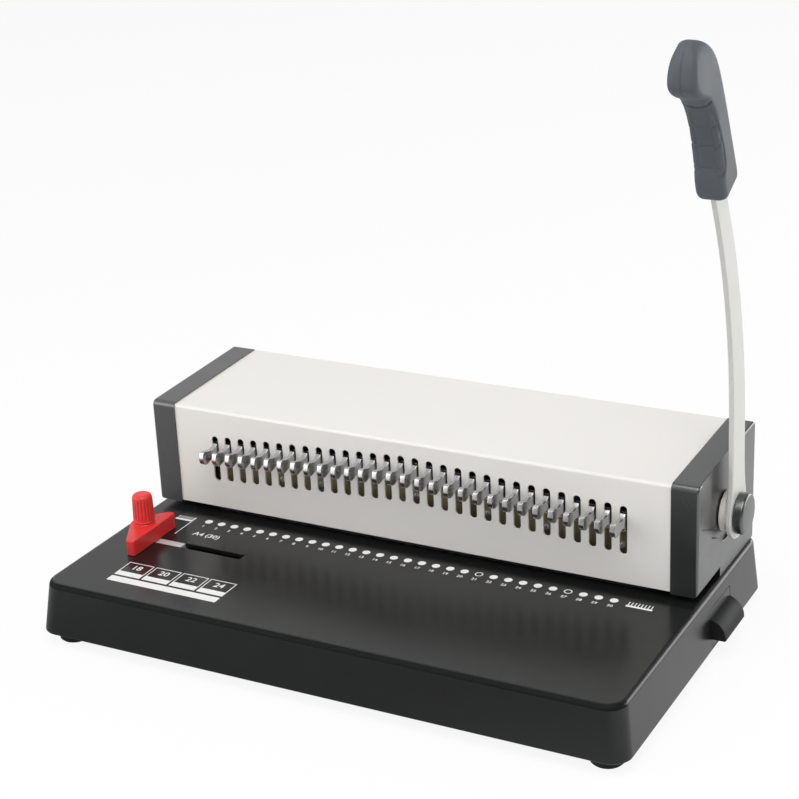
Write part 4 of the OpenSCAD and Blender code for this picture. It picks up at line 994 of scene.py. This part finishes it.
class PUNCH_OT_lever(bpy.types.Operator):
    """Models the bent lever bar, its hub, set screw and round pivot cap"""
    bl_idname = "punch.lever"
    bl_label = "Lever"

    # Angles of the bar's rounded foot, steps along its two parts, and its length inside the grip
    FOOT_ANGLES = (4, 8, 14, 22, 30, 40, 50, 60, 70, 80)
    STRAIGHT_STEPS, BEND_STEPS = 8, 28
    TANG = 14 * MM
    # Bore of the hub, depth of the groove round it and size of the bevel at its inner end
    BORE, GROOVE, HUB_BEVEL = 6 * MM, 0.9 * MM, 1.2 * MM
    # How the pivot cap differs from its packed node, and its crown and edge
    BUTTON_SHRINK, BUTTON_RISE = 1.2 * MM, 0.5 * MM
    BUTTON_CROWN, BUTTON_EDGE = 0.4 * MM, 1.8 * MM

    def execute(self, context):
        self.bar(context.scene.punch_lever)
        self.hub()
        self.set_screw()
        self.pivot_cap()
        return {"FINISHED"}

    def width(self, shape, run):
        """Width of the bar, which narrows quickly above the hub and slowly to the grip."""
        return along_table(((0, shape.foot_width), (shape.waist_height, shape.waist),
                            (shape.straight, shape.knee),
                            (shape.straight + bend_length(shape), shape.width)), run)

    def bar(self, shape):
        foot = shape.foot_width / 2
        bent = bend_length(shape)
        stations = [(-foot * math.cos(math.radians(a)), foot * math.sin(math.radians(a)))
                    for a in self.FOOT_ANGLES]
        runs = [shape.straight * k / self.STRAIGHT_STEPS for k in range(self.STRAIGHT_STEPS)]
        runs += [shape.straight + bent * k / self.BEND_STEPS for k in range(self.BEND_STEPS + 1)]
        runs += [shape.straight + bent + shape.grip_seat + self.TANG]
        stations += [(run, self.width(shape, run) / 2) for run in runs]
        middle_x = (LEVER_LOW.x + LEVER_HIGH.x) / 2
        half = (LEVER_HIGH.x - LEVER_LOW.x) / 2
        rings = []
        for run, width in stations:
            (y, z), lean = lever_place(shape, run)
            rings.append([Vector((middle_x + a, y + b * math.cos(lean), z + b * math.sin(lean)))
                          for a, b in round_box(half, width, shape.edge, 4)])
        finished(sleeve(rings), "lever_blade", "lever", "lever enamel", ["lever_bar"])

    def hub(self):
        """A collar with a groove round it and a flat foot."""
        low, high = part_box("lever_hub")
        radius = (high.y - low.y) / 2
        width = high.x - low.x
        bevel, deep = self.HUB_BEVEL, radius - self.GROOVE
        profile = [(self.BORE, 0), (radius - bevel, 0), (radius - 0.35 * MM, 0.35 * MM), (radius, bevel),
                   (radius, 0.62 * width), (radius - 0.25 * MM, 0.66 * width), (deep, 0.68 * width),
                   (deep, 0.74 * width), (radius - 0.2 * MM, 0.77 * width), (radius, 0.82 * width),
                   (radius, width), (self.BORE, width)]
        hub = turned(profile, (low.x, PIVOT.y, PIVOT.z), "X", sides=80)
        edit(hub)
        bpy.ops.mesh.select_all(action="SELECT")
        bpy.ops.mesh.bisect(plane_co=(low.x, PIVOT.y, low.z), plane_no=(0, 0, -1),
                            use_fill=True, clear_outer=True)
        bpy.ops.object.mode_set(mode="OBJECT")
        # The hub takes the cover's lighter cream, not the lever's, as painted light that lifts it out of the
        # shade of the bar and pocket
        finished(hub, "hub_collar", "lever", "cream enamel of the cover, painted light on the hub", ["lever_hub"])

    def set_screw(self):
        """A headless screw with a socket below and eight turns of thread."""
        low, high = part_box("hub_set_screw")
        radius = (high.x - low.x) / 2
        centre = ((low.x + high.x) / 2, (low.y + high.y) / 2, low.z)
        tall = high.z - low.z
        socket, pitch = 1.2 * MM, 0.7 * MM
        profile = [(0.35 * radius, socket), (0.5 * radius, socket), (0.52 * radius, 0), (0.82 * radius, 0),
                   (0.95 * radius, 0.15 * MM), (radius, 0.5 * MM)]
        for turn in range(8):
            run = 0.8 * MM + turn * pitch
            profile += [(radius, run), (0.86 * radius, run + pitch / 2)]
        profile += [(radius, tall - 0.6 * MM), (0.6 * radius, tall - 0.2 * MM)]
        screw = turned(profile, centre, "Z", sides=24)
        finished(screw, "hub_screw", "lever", "blackened steel", ["hub_set_screw"])

    def pivot_cap(self):
        """A round button with a rolled edge and a faint crown."""
        low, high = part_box("pivot_cap")
        radius = (high.y - low.y) / 2 - self.BUTTON_SHRINK
        tall = high.x - low.x + self.BUTTON_RISE
        edge = self.BUTTON_EDGE
        shoulder = tall - self.BUTTON_CROWN - edge
        profile = [(0.5 * radius, 0), (radius - 0.5 * MM, 0), (radius, 0.5 * MM)]
        profile += [(radius - edge + r, shoulder + run) for r, run in arc((0, 0), edge, 0, 84, 8)]
        profile += [(0.66 * radius, tall - 0.2 * MM), (0.33 * radius, tall - 0.06 * MM),
                    (0.02 * radius, tall)]
        cap = turned(profile, (low.x, PIVOT.y, PIVOT.z), "X", sides=72)
        finished(cap, "pivot_button", "lever", "cap plastic", ["pivot_cap"])


class PUNCH_OT_grip(bpy.types.Operator):
    """Models the soft grip with its thumb nose and grooved panels"""
    bl_idname = "punch.grip"
    bl_label = "Grip"

    # Place along the grip and distance of its front and back from the lever's line, in mm
    FRONT = ((7.2, -6.5), (7.6, -8.6), (8.6, -10.2), (10.5, -11), (12, -11.3), (18.8, -10.6), (26.7, -8.4),
             (37, -7), (48, -6.3), (58, -6.7), (65.5, -8.1), (71.5, -10.4), (76, -13), (80, -17.2),
             (84, -20.8), (88.5, -23.2), (92.5, -23), (97, -20.6), (101, -17.4), (104, -13.6),
             (106, -10.2), (106.4, -9))
    BACK = ((7.2, 8.5), (7.6, 10.6), (8.4, 11.9), (9.6, 12.5), (11, 12.7), (14, 12.8), (30, 12.7),
            (54, 12.4), (66, 12), (77, 11.3), (84, 10.4), (88, 9.4), (93, 7.4), (98.4, 4), (102, 0.8),
            (105, -3.2), (106.4, -7.5))
    # Half its thickness, drawn for the thickness below
    HALF = ((7.2, 5.8), (7.6, 7), (8.6, 7.9), (10, 8.3), (14, 8.5), (40, 8.5), (70, 8.5), (86, 8.3),
            (94, 7.9), (99, 7.2), (102.5, 6), (105, 4.2), (106.4, 2.2))
    DRAWN_THICKNESS = 17 * MM
    # Outline of the side panel, its strokes, and the grooves round the front
    LEAF = ((72, -9.5), (68, -8), (64, -6.8), (59.7, -5.5), (54.5, -4.5), (49.3, -3.7), (44.5, -3.2),
            (40, -2.9), (35.5, -2.8), (31, -3.1), (27.5, -4), (25.2, -5.5), (23.5, -8))
    STROKES = (((49.5, -7.5), (56, -4.5)), ((37.5, -8), (43.5, -3)))
    RINGS = (28, 41.2, 53.7)
    COLLAR = 67.7
    PAD_EDGE = 4.4
    PAD_START, PAD_END = 26, 68
    SEAM_START = 78
    # Half width of a groove, radius of the long edges, and reach of the front's grooves round them
    GROOVE_WIDTH, SEAM_WIDTH = 0.62, 0.5
    CORNER, WRAP = 4.2, 3
    # Steps of the skin along the grip, along each side and round each corner of its section
    RUN_STEPS = 210
    SIDE_STEPS = 28
    CORNER_STEPS = 7

    def execute(self, context):
        shape = context.scene.punch_lever
        (foot_y, foot_z), lean = grip_frame(shape)
        middle_x = (LEVER_LOW.x + LEVER_HIGH.x) / 2
        scale = shape.grip_thickness / self.DRAWN_THICKNESS
        first, last = self.FRONT[0][0], self.FRONT[-1][0]
        rings = []
        for k in range(self.RUN_STEPS + 1):
            u = first + (last - first) * k / self.RUN_STEPS
            front, back = along_table(self.FRONT, u), along_table(self.BACK, u)
            half = along_table(self.HALF, u) * scale
            middle, reach = (front + back) / 2, (back - front) / 2
            ring = []
            for a, v in self.section(half, reach):
                a, v = self.grooved(u, middle + v, a, half, front, shape.groove / MM)
                y = foot_y + (v * math.cos(lean) - u * math.sin(lean)) * MM
                z = foot_z + (v * math.sin(lean) + u * math.cos(lean)) * MM
                ring.append(Vector((middle_x + a * MM, y, z)))
            rings.append(ring)
        grip = sleeve(rings)
        finished(grip, "grip_body", "lever", "grip plastic", ["lever_grip"])
        return {"FINISHED"}

    def section(self, half, reach):
        """Rounded cross-section with evenly spread points."""
        radius = min(self.CORNER, 0.8 * half, 0.8 * reach)
        corners = round_box(half, reach, radius, self.CORNER_STEPS)
        points = []
        for k, point in enumerate(corners):
            points.append(point)
            following = corners[(k + 1) % len(corners)]
            if (k + 1) % (self.CORNER_STEPS + 1) == 0:
                for s in range(1, self.SIDE_STEPS):
                    t = s / self.SIDE_STEPS
                    points.append(tuple(a + (b - a) * t for a, b in zip(point, following)))
        return points

    def groove_line(self, u, v, a, b):
        """Distance from a place on the grip's side to a groove between two places."""
        along = (b[0] - a[0]) ** 2 + (b[1] - a[1]) ** 2
        t = max(0, min(1, ((u - a[0]) * (b[0] - a[0]) + (v - a[1]) * (b[1] - a[1])) / along))
        return math.hypot(u - a[0] - t * (b[0] - a[0]), v - a[1] - t * (b[1] - a[1]))

    def dent(self, distance, depth, width=GROOVE_WIDTH):
        """Depth of a rounded groove at a distance from its middle line."""
        return depth * math.exp(-(distance / width) ** 2)

    def grooved(self, u, v, a, half, front, depth):
        """Pushes a point of the skin in where a groove runs."""
        if abs(a) > self.PAD_EDGE:
            lines = [*zip(self.LEAF[:-1], self.LEAF[1:]), *self.STROKES]
            near = min(self.groove_line(u, v, p, q) for p, q in lines)
            sink = self.dent(near, depth)
            share = max(0.0, min(1.0, (v - front) / self.CORNER))
            a -= math.copysign(sink * (0.45 + 0.55 * share), a)
            v += 0.6 * sink * (1 - share)
        if v < front + self.WRAP and abs(a) <= half * 0.98:
            collar = self.dent(abs(u - self.COLLAR - 0.06 * a * a), depth)
            ring = max(self.dent(abs(u - place), 0.4 * depth) for place in self.RINGS)
            edge = self.dent(abs(a) - self.PAD_EDGE, 0.45 * depth) if self.PAD_START < u < self.PAD_END else 0
            seam = self.dent(a, 0.5 * depth, self.SEAM_WIDTH) if u > self.SEAM_START else 0
            v += max(collar, ring, edge, seam)
        return a, v


class PUNCH_OT_guide(bpy.types.Operator):
    """Models the red edge guide and its ribbed clamp knob"""
    bl_idname = "punch.edge_guide"
    bl_label = "Edge guide"

    # Places of the blade's inner corners from its right face
    BLADE_BACK, BLADE_FRONT = 6 * MM, 4.4 * MM
    FOOT_EDGE = 0.3 * MM
    # Hole for the stud, edge of the ring round it, and gap between the ring and the knob
    STUD_HOLE, RING_EDGE, GAP = 2.5 * MM, 0.4 * MM, 0.3 * MM

    def execute(self, context):
        shape = context.scene.punch_guide
        self.stop(shape)
        self.knob(shape)
        return {"FINISHED"}

    def stop(self, shape):
        """The stop from the boss to its blade, with the ring under the knob."""
        low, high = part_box("edge_guide")
        knob_low, knob_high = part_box("guide_knob")
        top = high.z - shape.collar
        end = shape.end
        corners = [(high.x - end, low.y + end, end), (high.x - end, high.y - end, end),
                   (high.x - self.BLADE_BACK + end, high.y - end, end),
                   (high.x - self.BLADE_FRONT, low.y + end, end), (KNOB_AXIS.x, KNOB_AXIS.y, shape.boss)]
        points = []
        for x, y, radius in corners:
            points += arc((x, y), radius, 0, 352, 44)
        body = slab([Vector((x, y, low.z)) for x, y in hull_outline(points)], (0, 0, top - low.z))
        bevel_edges(body, lambda edge: sharp(edge) and lies(edge, 2, top), shape.edge, 4)
        bevel_edges(body, lambda edge: sharp(edge) and lies(edge, 2, low.z), self.FOOT_EDGE, 2)
        seat = knob_low.z - self.GAP
        radius = (knob_high.x - knob_low.x) / 2
        ring = turned([(self.STUD_HOLE, top - PAST), (radius, top - PAST), (radius, seat - self.RING_EDGE),
                       (radius - self.RING_EDGE, seat), (self.STUD_HOLE, seat)],
                      (KNOB_AXIS.x, KNOB_AXIS.y, 0), "Z", sides=64)
        stop = joined([body, ring])
        finished(stop, "guide_stop", "guide", "red plastic", ["edge_guide"])

    def knob(self, shape):
        """The tapered knob with rounded ribs above a smooth foot."""
        low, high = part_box("guide_knob")
        radius = (high.x - low.x) / 2
        tall = high.z - low.z
        sides = shape.ribs * 10
        # Height share, radius share and share of the rib's depth
        steps = [(0.0, 0.40, 0), (0.0, 0.93, 0), (0.015, 0.98, 0), (0.06, 0.99, 0), (0.075, 0.93, 0),
                 (0.10, 0.91, 0), (0.115, 0.97, 0.1), (0.14, 0.985, 0.7), (0.17, 0.98, 1), (0.5, 0.95, 1),
                 (0.80, 0.925, 1), (0.86, 0.915, 0.8), (0.90, 0.90, 0.35), (0.935, 0.86, 0.08),
                 (0.965, 0.80, 0), (0.985, 0.72, 0), (0.997, 0.60, 0), (1.0, 0.42, 0), (0.997, 0.2, 0),
                 (0.996, 0.02, 0)]
        rings = []
        for height, share, rib in steps:
            z = low.z + height * tall
            ring = []
            for k in range(sides):
                a = 2 * math.pi * k / sides
                wave = abs(math.sin(shape.ribs * a / 2)) ** 0.6
                r = radius * share - shape.rib_depth * rib * (1 - wave)
                ring.append(Vector((KNOB_AXIS.x + r * math.cos(a), KNOB_AXIS.y + r * math.sin(a), z)))
            rings.append(ring)
        finished(sleeve(rings), "clamp_knob", "knob", "red plastic", ["guide_knob"])


class PUNCH_OT_tray(bpy.types.Operator):
    """Models the barrel-shaped pull of the chip tray and the plate that closes its mouth"""
    bl_idname = "punch.tray_handle"
    bl_label = "Tray handle"

    # Radius of the barrel, how much lower its top is than the packed node's, wall, and edges
    BARREL, DROP, WALL = 12 * MM, 1.8 * MM, 2.5 * MM
    FRONT_EDGE, BACK_EDGE, PLATE_EDGE = 0.6 * MM, 2 * MM, 0.3 * MM

    def execute(self, context):
        self.pull()
        self.front(context.scene.punch_base.draft)
        return {"FINISHED"}

    def pull(self):
        """The barrel, hollow from below."""
        low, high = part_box("tray_handle")
        high.z -= self.DROP
        radius, rim, wall = self.BARREL, self.FRONT_EDGE, self.WALL
        centre = (high.x - radius, high.z - radius)
        start = math.degrees(math.acos((low.x - centre[0]) / radius))
        barrel = arc(centre, radius, 0, start, 18)
        outline = [(low.x, low.z), (high.x - rim, low.z), (high.x, low.z + rim), *barrel]
        handle = slab([Vector((x, low.y, z)) for x, z in outline], (0, high.y - low.y, 0))
        cut(handle, block((low.x + wall, low.y + wall, low.z - PAST),
                          (high.x - wall, high.y - wall, centre[1])))
        for y, width in ((low.y, rim), (high.y, self.BACK_EDGE)):
            bevel_edges(handle, lambda edge: sharp(edge) and lies(edge, 1, y)
                        and right_of(edge, low.x + 0.2 * MM), width, 4)
        finished(handle, "tray_pull", "tray", "tray plastic", ["tray_handle"])

    def front(self, draft):
        """Plate before the tray's front wall that closes the mouth flush with the drafted side."""
        low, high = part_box("chip_tray")

        def side_x(z):
            return BASE_HIGH.x - draft * (z - BASE_LOW.z) / (DECK - BASE_LOW.z)

        outline = [(high.x, low.z), (side_x(low.z), low.z), (side_x(high.z), high.z), (high.x, high.z)]
        plate = slab([Vector((x, low.y, z)) for x, z in outline], (0, high.y - low.y, 0))
        bevel_edges(plate, lambda edge: sharp(edge) and right_of(edge, side_x(high.z) - 0.1 * MM),
                    self.PLATE_EDGE, 2)
        finished(plate, "tray_front", "tray", "base lacquer")


class PUNCH_OT_fasteners(bpy.types.Operator):
    """Models the cross-recessed screws of the cover's back and of the backing plate"""
    bl_idname = "punch.fasteners"
    bl_label = "Screws"

    # Radius of the heads on the cover and on the backing plate, and length of their shanks
    COVER_RADIUS, BACKING_RADIUS = 2.8 * MM, 2 * MM
    SHANK = 2.6 * MM
    # Thickness of the backing plate, and height of its screws above the slots' feet
    BACKING, HEIGHT = 1.5 * MM, 2.5 * MM

    def execute(self, context):
        cover_low, cover_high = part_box("cover_screws")
        radius = self.COVER_RADIUS
        spread = (cover_high.x - cover_low.x) / 2 - radius
        heads = [(ROW_X + k * spread, (cover_low.z + cover_high.z) / 2) for k in (-1, 0, 1)]
        tall = cover_high.y - COVER_HIGH.y
        self.screws("cover_heads", "cover_screws", heads, COVER_HIGH.y, 1, radius, tall)
        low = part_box("backing_plate_screws")[0]
        face_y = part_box("backing_plate")[1].y - self.BACKING
        radius = self.BACKING_RADIUS
        aside = row_x(SCREW_SLOTS[0]) - radius - low.x
        shape = context.scene.punch_cover
        foot = DECK + shape.slot_top - shape.slot_length + self.HEIGHT
        heads = [(row_x(k) - aside, foot + chevron(k, shape.rise)) for k in SCREW_SLOTS]
        self.screws("backing_heads", "backing_plate_screws", heads, face_y, -1, radius, face_y - low.y)
        return {"FINISHED"}

    def screws(self, name, node, places, face_y, way, radius, tall):
        """One pan head on its shank, copied to each place; way is the side that the heads face."""
        x, z = places[0]
        shank = 0.55 * radius
        profile = [(shank, -self.SHANK), (shank, -LIFT), (radius, 0), (radius, 0.35 * tall),
                   (0.96 * radius, 0.6 * tall), (0.84 * radius, 0.82 * tall), (0.6 * radius, 0.96 * tall),
                   (0.3 * radius, tall), (0.02 * radius, tall)]
        first = turned([(r, way * run) for r, run in profile], (x, face_y, z), "Y", sides=32)
        top = face_y + way * tall
        y0, y1 = sorted((top - way * 0.55 * tall, top + way * PAST))
        long_arm, half_width = 0.62 * radius, 0.16 * radius
        for wide, high in ((long_arm, half_width), (half_width, long_arm)):
            cut(first, block((x - wide, y0, z - high), (x + wide, y1, z + high)))
        row = [first] + [copy_of(first, (other_x - x, 0, other_z - z)) for other_x, other_z in places[1:]]
        finished(joined(row), name, "base", "bright zinc", [node])


class PUNCH_OT_prints(bpy.types.Operator):
    """Prints the white dots, numbers, comb signs, edge line and table on the deck"""
    bl_idname = "punch.prints"
    bl_label = "Prints"

    # Places on the deck: X from the middle of the row, Y from the front panel (minus is to the front)
    DOT_Y, NUMBER_Y = -14 * MM, -22.6 * MM
    PAPER_X, PAPER_Y = -148.5 * MM, (-37 * MM, -12 * MM)
    LABEL_X, LABEL_Y, LABEL_SIZE = -128 * MM, -35 * MM, 6.2 * MM
    # Ends and number of teeth of the two comb signs, and Y of their bar's front, teeth's roots and tips
    COMBS = ((-161 * MM, PAPER_X, 7), (146 * MM, 162 * MM, 8))
    COMB_FRONT, COMB_ROOT, COMB_TIP = -18 * MM, -16.2 * MM, -12.2 * MM
    # Table of boxes: its ends, the boxes' front and back, the gap between them, and the bar below
    BOX_X, BOX_Y, BOX_GAP = (-151 * MM, -74 * MM), (-98.5 * MM, -81.5 * MM), 1.6 * MM
    BOX_FOOT, BOX_TEXT, BOX_SIZE = 5 * MM, 7.6 * MM, 7 * MM
    BOX_NUMBERS = (18, 20, 22, 24)
    BAR_Y = (-106.5 * MM, -100.5 * MM)

    def execute(self, context):
        shape = context.scene.punch_prints
        self.ink = shape.ink
        marks = self.dots(shape)
        marks += [self.word(str(index + 1), row_x(index) - ROW_X, self.NUMBER_Y, shape.number)
                  for index in range(HOLE_COUNT)]
        for x0, x1, teeth in self.COMBS:
            marks += self.comb_sign(x0, x1, teeth)
        marks.append(self.bar(self.PAPER_X - shape.line / 2, self.PAPER_X + shape.line / 2, *self.PAPER_Y))
        marks.append(self.word("A4 (30)", self.LABEL_X, self.LABEL_Y, self.LABEL_SIZE))
        marks += self.table(shape.line)
        finished(joined(marks), "deck_prints", "base", "white ink")
        return {"FINISHED"}

    def bar(self, x0, x1, y0, y1):
        """A thin printed rectangle."""
        return block((ROW_X + x0, PANEL_Y + y0, DECK + LIFT), (ROW_X + x1, PANEL_Y + y1, DECK + self.ink))

    def dots(self, shape):
        """One dot before each hole, a few of them as rings."""
        y = PANEL_Y + self.DOT_Y
        marks = row_of(rod(shape.dot, (row_x(0), y, DECK + LIFT), self.ink, "Z", sides=40))
        for index in RING_DOTS:
            hole = rod(shape.dot - shape.line, (row_x(index), y, DECK - PAST), 2 * PAST, "Z", sides=40)
            cut(marks[index], hole)
        return marks

    def word(self, text, x, y, size):
        """Printed figures or letters, in Blender's own typeface."""
        deselect()
        bpy.ops.object.text_add(location=(ROW_X + x, PANEL_Y + y, DECK + LIFT + self.ink / 2))
        word = bpy.context.active_object
        word.data.body = text
        word.data.size = size
        word.data.align_x = "CENTER"
        word.data.align_y = "BOTTOM"
        word.data.extrude = self.ink / 2
        word.data.offset = 0.012 * size
        word.data.resolution_u = 3
        bpy.ops.object.convert(target="MESH")
        word = bpy.context.active_object
        place_applied(word)
        return word

    def comb_sign(self, x0, x1, teeth):
        """A bar with teeth, the sign of a binding comb."""
        marks = [self.bar(x0, x1, self.COMB_FRONT, self.COMB_ROOT)]
        pitch = (x1 - x0) / teeth
        for k in range(teeth):
            left = x0 + (k + 0.3) * pitch
            marks.append(self.bar(left, left + 0.3 * pitch, self.COMB_ROOT, self.COMB_TIP))
        return marks

    def table(self, line):
        """Four plain boxes with a white foot, and a white bar below them."""
        (x0, x1), (front, back) = self.BOX_X, self.BOX_Y
        wide = (x1 - x0 - 3 * self.BOX_GAP) / len(self.BOX_NUMBERS)
        foot = front + self.BOX_FOOT
        marks = []
        for k, count in enumerate(self.BOX_NUMBERS):
            left = x0 + k * (wide + self.BOX_GAP)
            right = left + wide
            marks += [self.bar(left, right, front, foot), self.bar(left, right, back - line, back),
                      self.bar(left, left + line, foot, back - line),
                      self.bar(right - line, right, foot, back - line),
                      self.word(str(count), left + wide / 2, front + self.BOX_TEXT, self.BOX_SIZE)]
        marks.append(self.bar(x0, x1, *self.BAR_Y))
        return marks


class PUNCH_OT_stage(bpy.types.Operator):
    """Sets the pale floor, soft studio light and camera"""
    bl_idname = "punch.stage"
    bl_label = "Stage"

    # Name, place, aim, width, height and watts of each lamp
    LAMPS = (("key_softbox", (0.3, -0.6, 1.6), (0, 0, 0.08), 1.2, 1.2, 18),
             ("left_fill", (-1.3, -1.3, 0.8), (0, 0, 0.08), 1.4, 1.4, 11),
             ("right_sheet", (1.1, 1.2, 0.3), (0, 0, 0.06), 1.8, 0.6, 14))
    SKY_LIGHT = 0.42
    # How white the floor is to the camera, and how far mirrors see its glow instead of its paint
    FLOOR_WHITE, FLOOR_MIRRORED = 0.9, 0.85

    def execute(self, context):
        scene = context.scene
        scene.view_settings.view_transform = "Standard"
        deselect()
        bpy.ops.mesh.primitive_plane_add(size=40, location=(0, 0, 0))
        floor = context.active_object
        floor.name = "floor"
        floor.data.materials.append(self.floor_paint())
        self.sky(scene)
        for settings in self.LAMPS:
            self.lamp(*settings)
        self.camera(scene, scene.punch_stage)
        return {"FINISHED"}

    def rays(self, tree):
        """Shares that are 1 for rays from the camera, and for rays from mirrors and glass."""
        path = tree.nodes.new("ShaderNodeLightPath")
        glossy, clear = path.outputs["Is Glossy Ray"], path.outputs["Is Transmission Ray"]
        return path.outputs["Is Camera Ray"], self.joint(tree, "MAXIMUM", glossy, clear)

    def layered(self, tree, first, second, share):
        """One shader over another, by a share."""
        mix = tree.nodes.new("ShaderNodeMixShader")
        tree.links.new(share, mix.inputs[0])
        tree.links.new(first, mix.inputs[1])
        tree.links.new(second, mix.inputs[2])
        return mix.outputs[0]

    def glow(self, tree, kind, strength):
        """Plain white light of a strength that is a number or an output."""
        node = tree.nodes.new(kind)
        node.inputs["Color"].default_value = (1, 1, 1, 1)
        if isinstance(strength, (int, float)):
            node.inputs["Strength"].default_value = strength
        else:
            tree.links.new(strength, node.inputs["Strength"])
        return node.outputs[0]

    def joint(self, tree, operation, first, second):
        """A math node between two outputs, or an output and a number."""
        node = tree.nodes.new("ShaderNodeMath")
        node.operation = operation
        for entry, value in zip(node.inputs, (first, second)):
            if isinstance(value, (int, float)):
                entry.default_value = value
            else:
                tree.links.new(value, entry)
        return node.outputs[0]

    def fade(self, tree, vector, way, ramp):
        """Share that rises along a direction; ramp holds its start, its end and the two shares."""
        turned_way = tree.nodes.new("ShaderNodeVectorMath")
        turned_way.operation = "DOT_PRODUCT"
        turned_way.inputs[1].default_value = way
        tree.links.new(vector, turned_way.inputs[0])
        spread = tree.nodes.new("ShaderNodeMapRange")
        spread.interpolation_type = "SMOOTHSTEP"
        for name, value in zip(("From Min", "From Max", "To Min", "To Max"), ramp):
            spread.inputs[name].default_value = value
        tree.links.new(turned_way.outputs["Value"], spread.inputs["Value"])
        return spread.outputs["Result"]

    def floor_paint(self):
        """White to the camera, paint to the light, and a glow that fades to the front in mirrors."""
        paint = bpy.data.materials.new("floor paint")
        paint.use_nodes = True
        tree = paint.node_tree
        shader = tree.nodes["Principled BSDF"]
        shader.inputs["Base Color"].default_value = (0.95, 0.95, 0.95, 1)
        shader.inputs["Roughness"].default_value = 0.9
        place = tree.nodes.new("ShaderNodeTexCoord")
        behind = self.fade(tree, place.outputs["Object"], (0.75, 0.65, 0), (-0.12, 0.16, 0.26, 1))
        beside = self.fade(tree, place.outputs["Object"], (-1, 0, 0), (0.18, 0.36, 0.26, 0.6))
        mirrored = self.joint(tree, "MAXIMUM", behind, beside)
        camera, mirror = self.rays(tree)
        seen = self.layered(tree, shader.outputs[0], self.glow(tree, "ShaderNodeEmission", 1),
                            self.joint(tree, "MULTIPLY", camera, self.FLOOR_WHITE))
        seen = self.layered(tree, seen, self.glow(tree, "ShaderNodeEmission", mirrored),
                            self.joint(tree, "MULTIPLY", mirror, self.FLOOR_MIRRORED))
        tree.links.new(seen, tree.nodes["Material Output"].inputs["Surface"])
        return paint

    def sky(self, scene):
        """White to the camera, even light, and a glow that fades to the right in mirrors."""
        world = scene.world or bpy.data.worlds.new("studio")
        scene.world = world
        world.use_nodes = True
        tree = world.node_tree
        light = tree.nodes["Background"]
        light.inputs["Color"].default_value = (1, 1, 1, 1)
        light.inputs["Strength"].default_value = self.SKY_LIGHT
        place = tree.nodes.new("ShaderNodeTexCoord")
        mirrored = self.fade(tree, place.outputs["Generated"], (-0.8, 0.2, 0), (-0.2, 0.65, 0.25, 0.88))
        camera, mirror = self.rays(tree)
        seen = self.layered(tree, light.outputs[0], self.glow(tree, "ShaderNodeBackground", 1), camera)
        seen = self.layered(tree, seen, self.glow(tree, "ShaderNodeBackground", mirrored), mirror)
        tree.links.new(seen, tree.nodes["World Output"].inputs["Surface"])

    def lamp(self, name, place, aim, wide, tall, watts):
        deselect()
        bpy.ops.object.light_add(type="AREA", location=place)
        lamp = bpy.context.active_object
        lamp.name = name
        lamp.data.shape = "RECTANGLE"
        lamp.data.size = wide
        lamp.data.size_y = tall
        lamp.data.energy = watts
        lamp.rotation_euler = (Vector(aim) - Vector(place)).to_track_quat("-Z", "Y").to_euler()

    def camera(self, scene, shape):
        deselect()
        shift = Vector((ROW_X, PANEL_Y, 0))
        eye, aim = Vector(shape.eye) + shift, Vector(shape.aim) + shift
        bpy.ops.object.camera_add(location=eye)
        camera = bpy.context.active_object
        turn = (aim - eye).to_track_quat("-Z", "Y").to_matrix() @ Matrix.Rotation(shape.roll, 3, "Z")
        camera.rotation_euler = turn.to_euler()
        camera.data.sensor_fit = "HORIZONTAL"
        camera.data.sensor_width = 36
        camera.data.lens = shape.lens
        camera.data.clip_end = 50
        scene.camera = camera


SETTINGS = {
    "punch_base": PunchBase, "punch_cover": PunchCover, "punch_hooks": PunchHooks, "punch_lever": PunchLever,
    "punch_guide": PunchGuide, "punch_prints": PunchPrints, "punch_finishes": PunchFinishes,
    "punch_stage": PunchStage,
}
OPERATORS = (
    PUNCH_OT_stage, PUNCH_OT_finishes, PUNCH_OT_base, PUNCH_OT_cover, PUNCH_OT_caps, PUNCH_OT_hooks,
    PUNCH_OT_lever, PUNCH_OT_grip, PUNCH_OT_guide, PUNCH_OT_tray, PUNCH_OT_fasteners, PUNCH_OT_prints,
)


class PUNCH_PT_pieces(bpy.types.Panel):
    """Lists the settings and the pieces in the order in which they are made"""
    bl_idname = "PUNCH_PT_pieces"
    bl_label = "Binding punch"
    bl_space_type = "VIEW_3D"
    bl_region_type = "UI"
    bl_category = "Binding punch"

    def draw(self, context):
        for name, group in SETTINGS.items():
            box = self.layout.box()
            box.label(text=group.__doc__)
            for key in group.__annotations__:
                box.prop(getattr(context.scene, name), key)
        for operator in OPERATORS:
            self.layout.operator(operator.bl_idname)


def register():
    for group in SETTINGS.values():
        bpy.utils.register_class(group)
    for operator in OPERATORS:
        bpy.utils.register_class(operator)
    bpy.utils.register_class(PUNCH_PT_pieces)
    for name, group in SETTINGS.items():
        setattr(bpy.types.Scene, name, bpy.props.PointerProperty(type=group))


def unregister():
    for name in SETTINGS:
        delattr(bpy.types.Scene, name)
    bpy.utils.unregister_class(PUNCH_PT_pieces)
    for operator in reversed(OPERATORS):
        bpy.utils.unregister_class(operator)
    for group in reversed(tuple(SETTINGS.values())):
        bpy.utils.unregister_class(group)


def main():
    register()
    for operator in OPERATORS:
        area, name = operator.bl_idname.split(".")
        getattr(getattr(bpy.ops, area), name)()


if __name__ == "__main__":
    main()
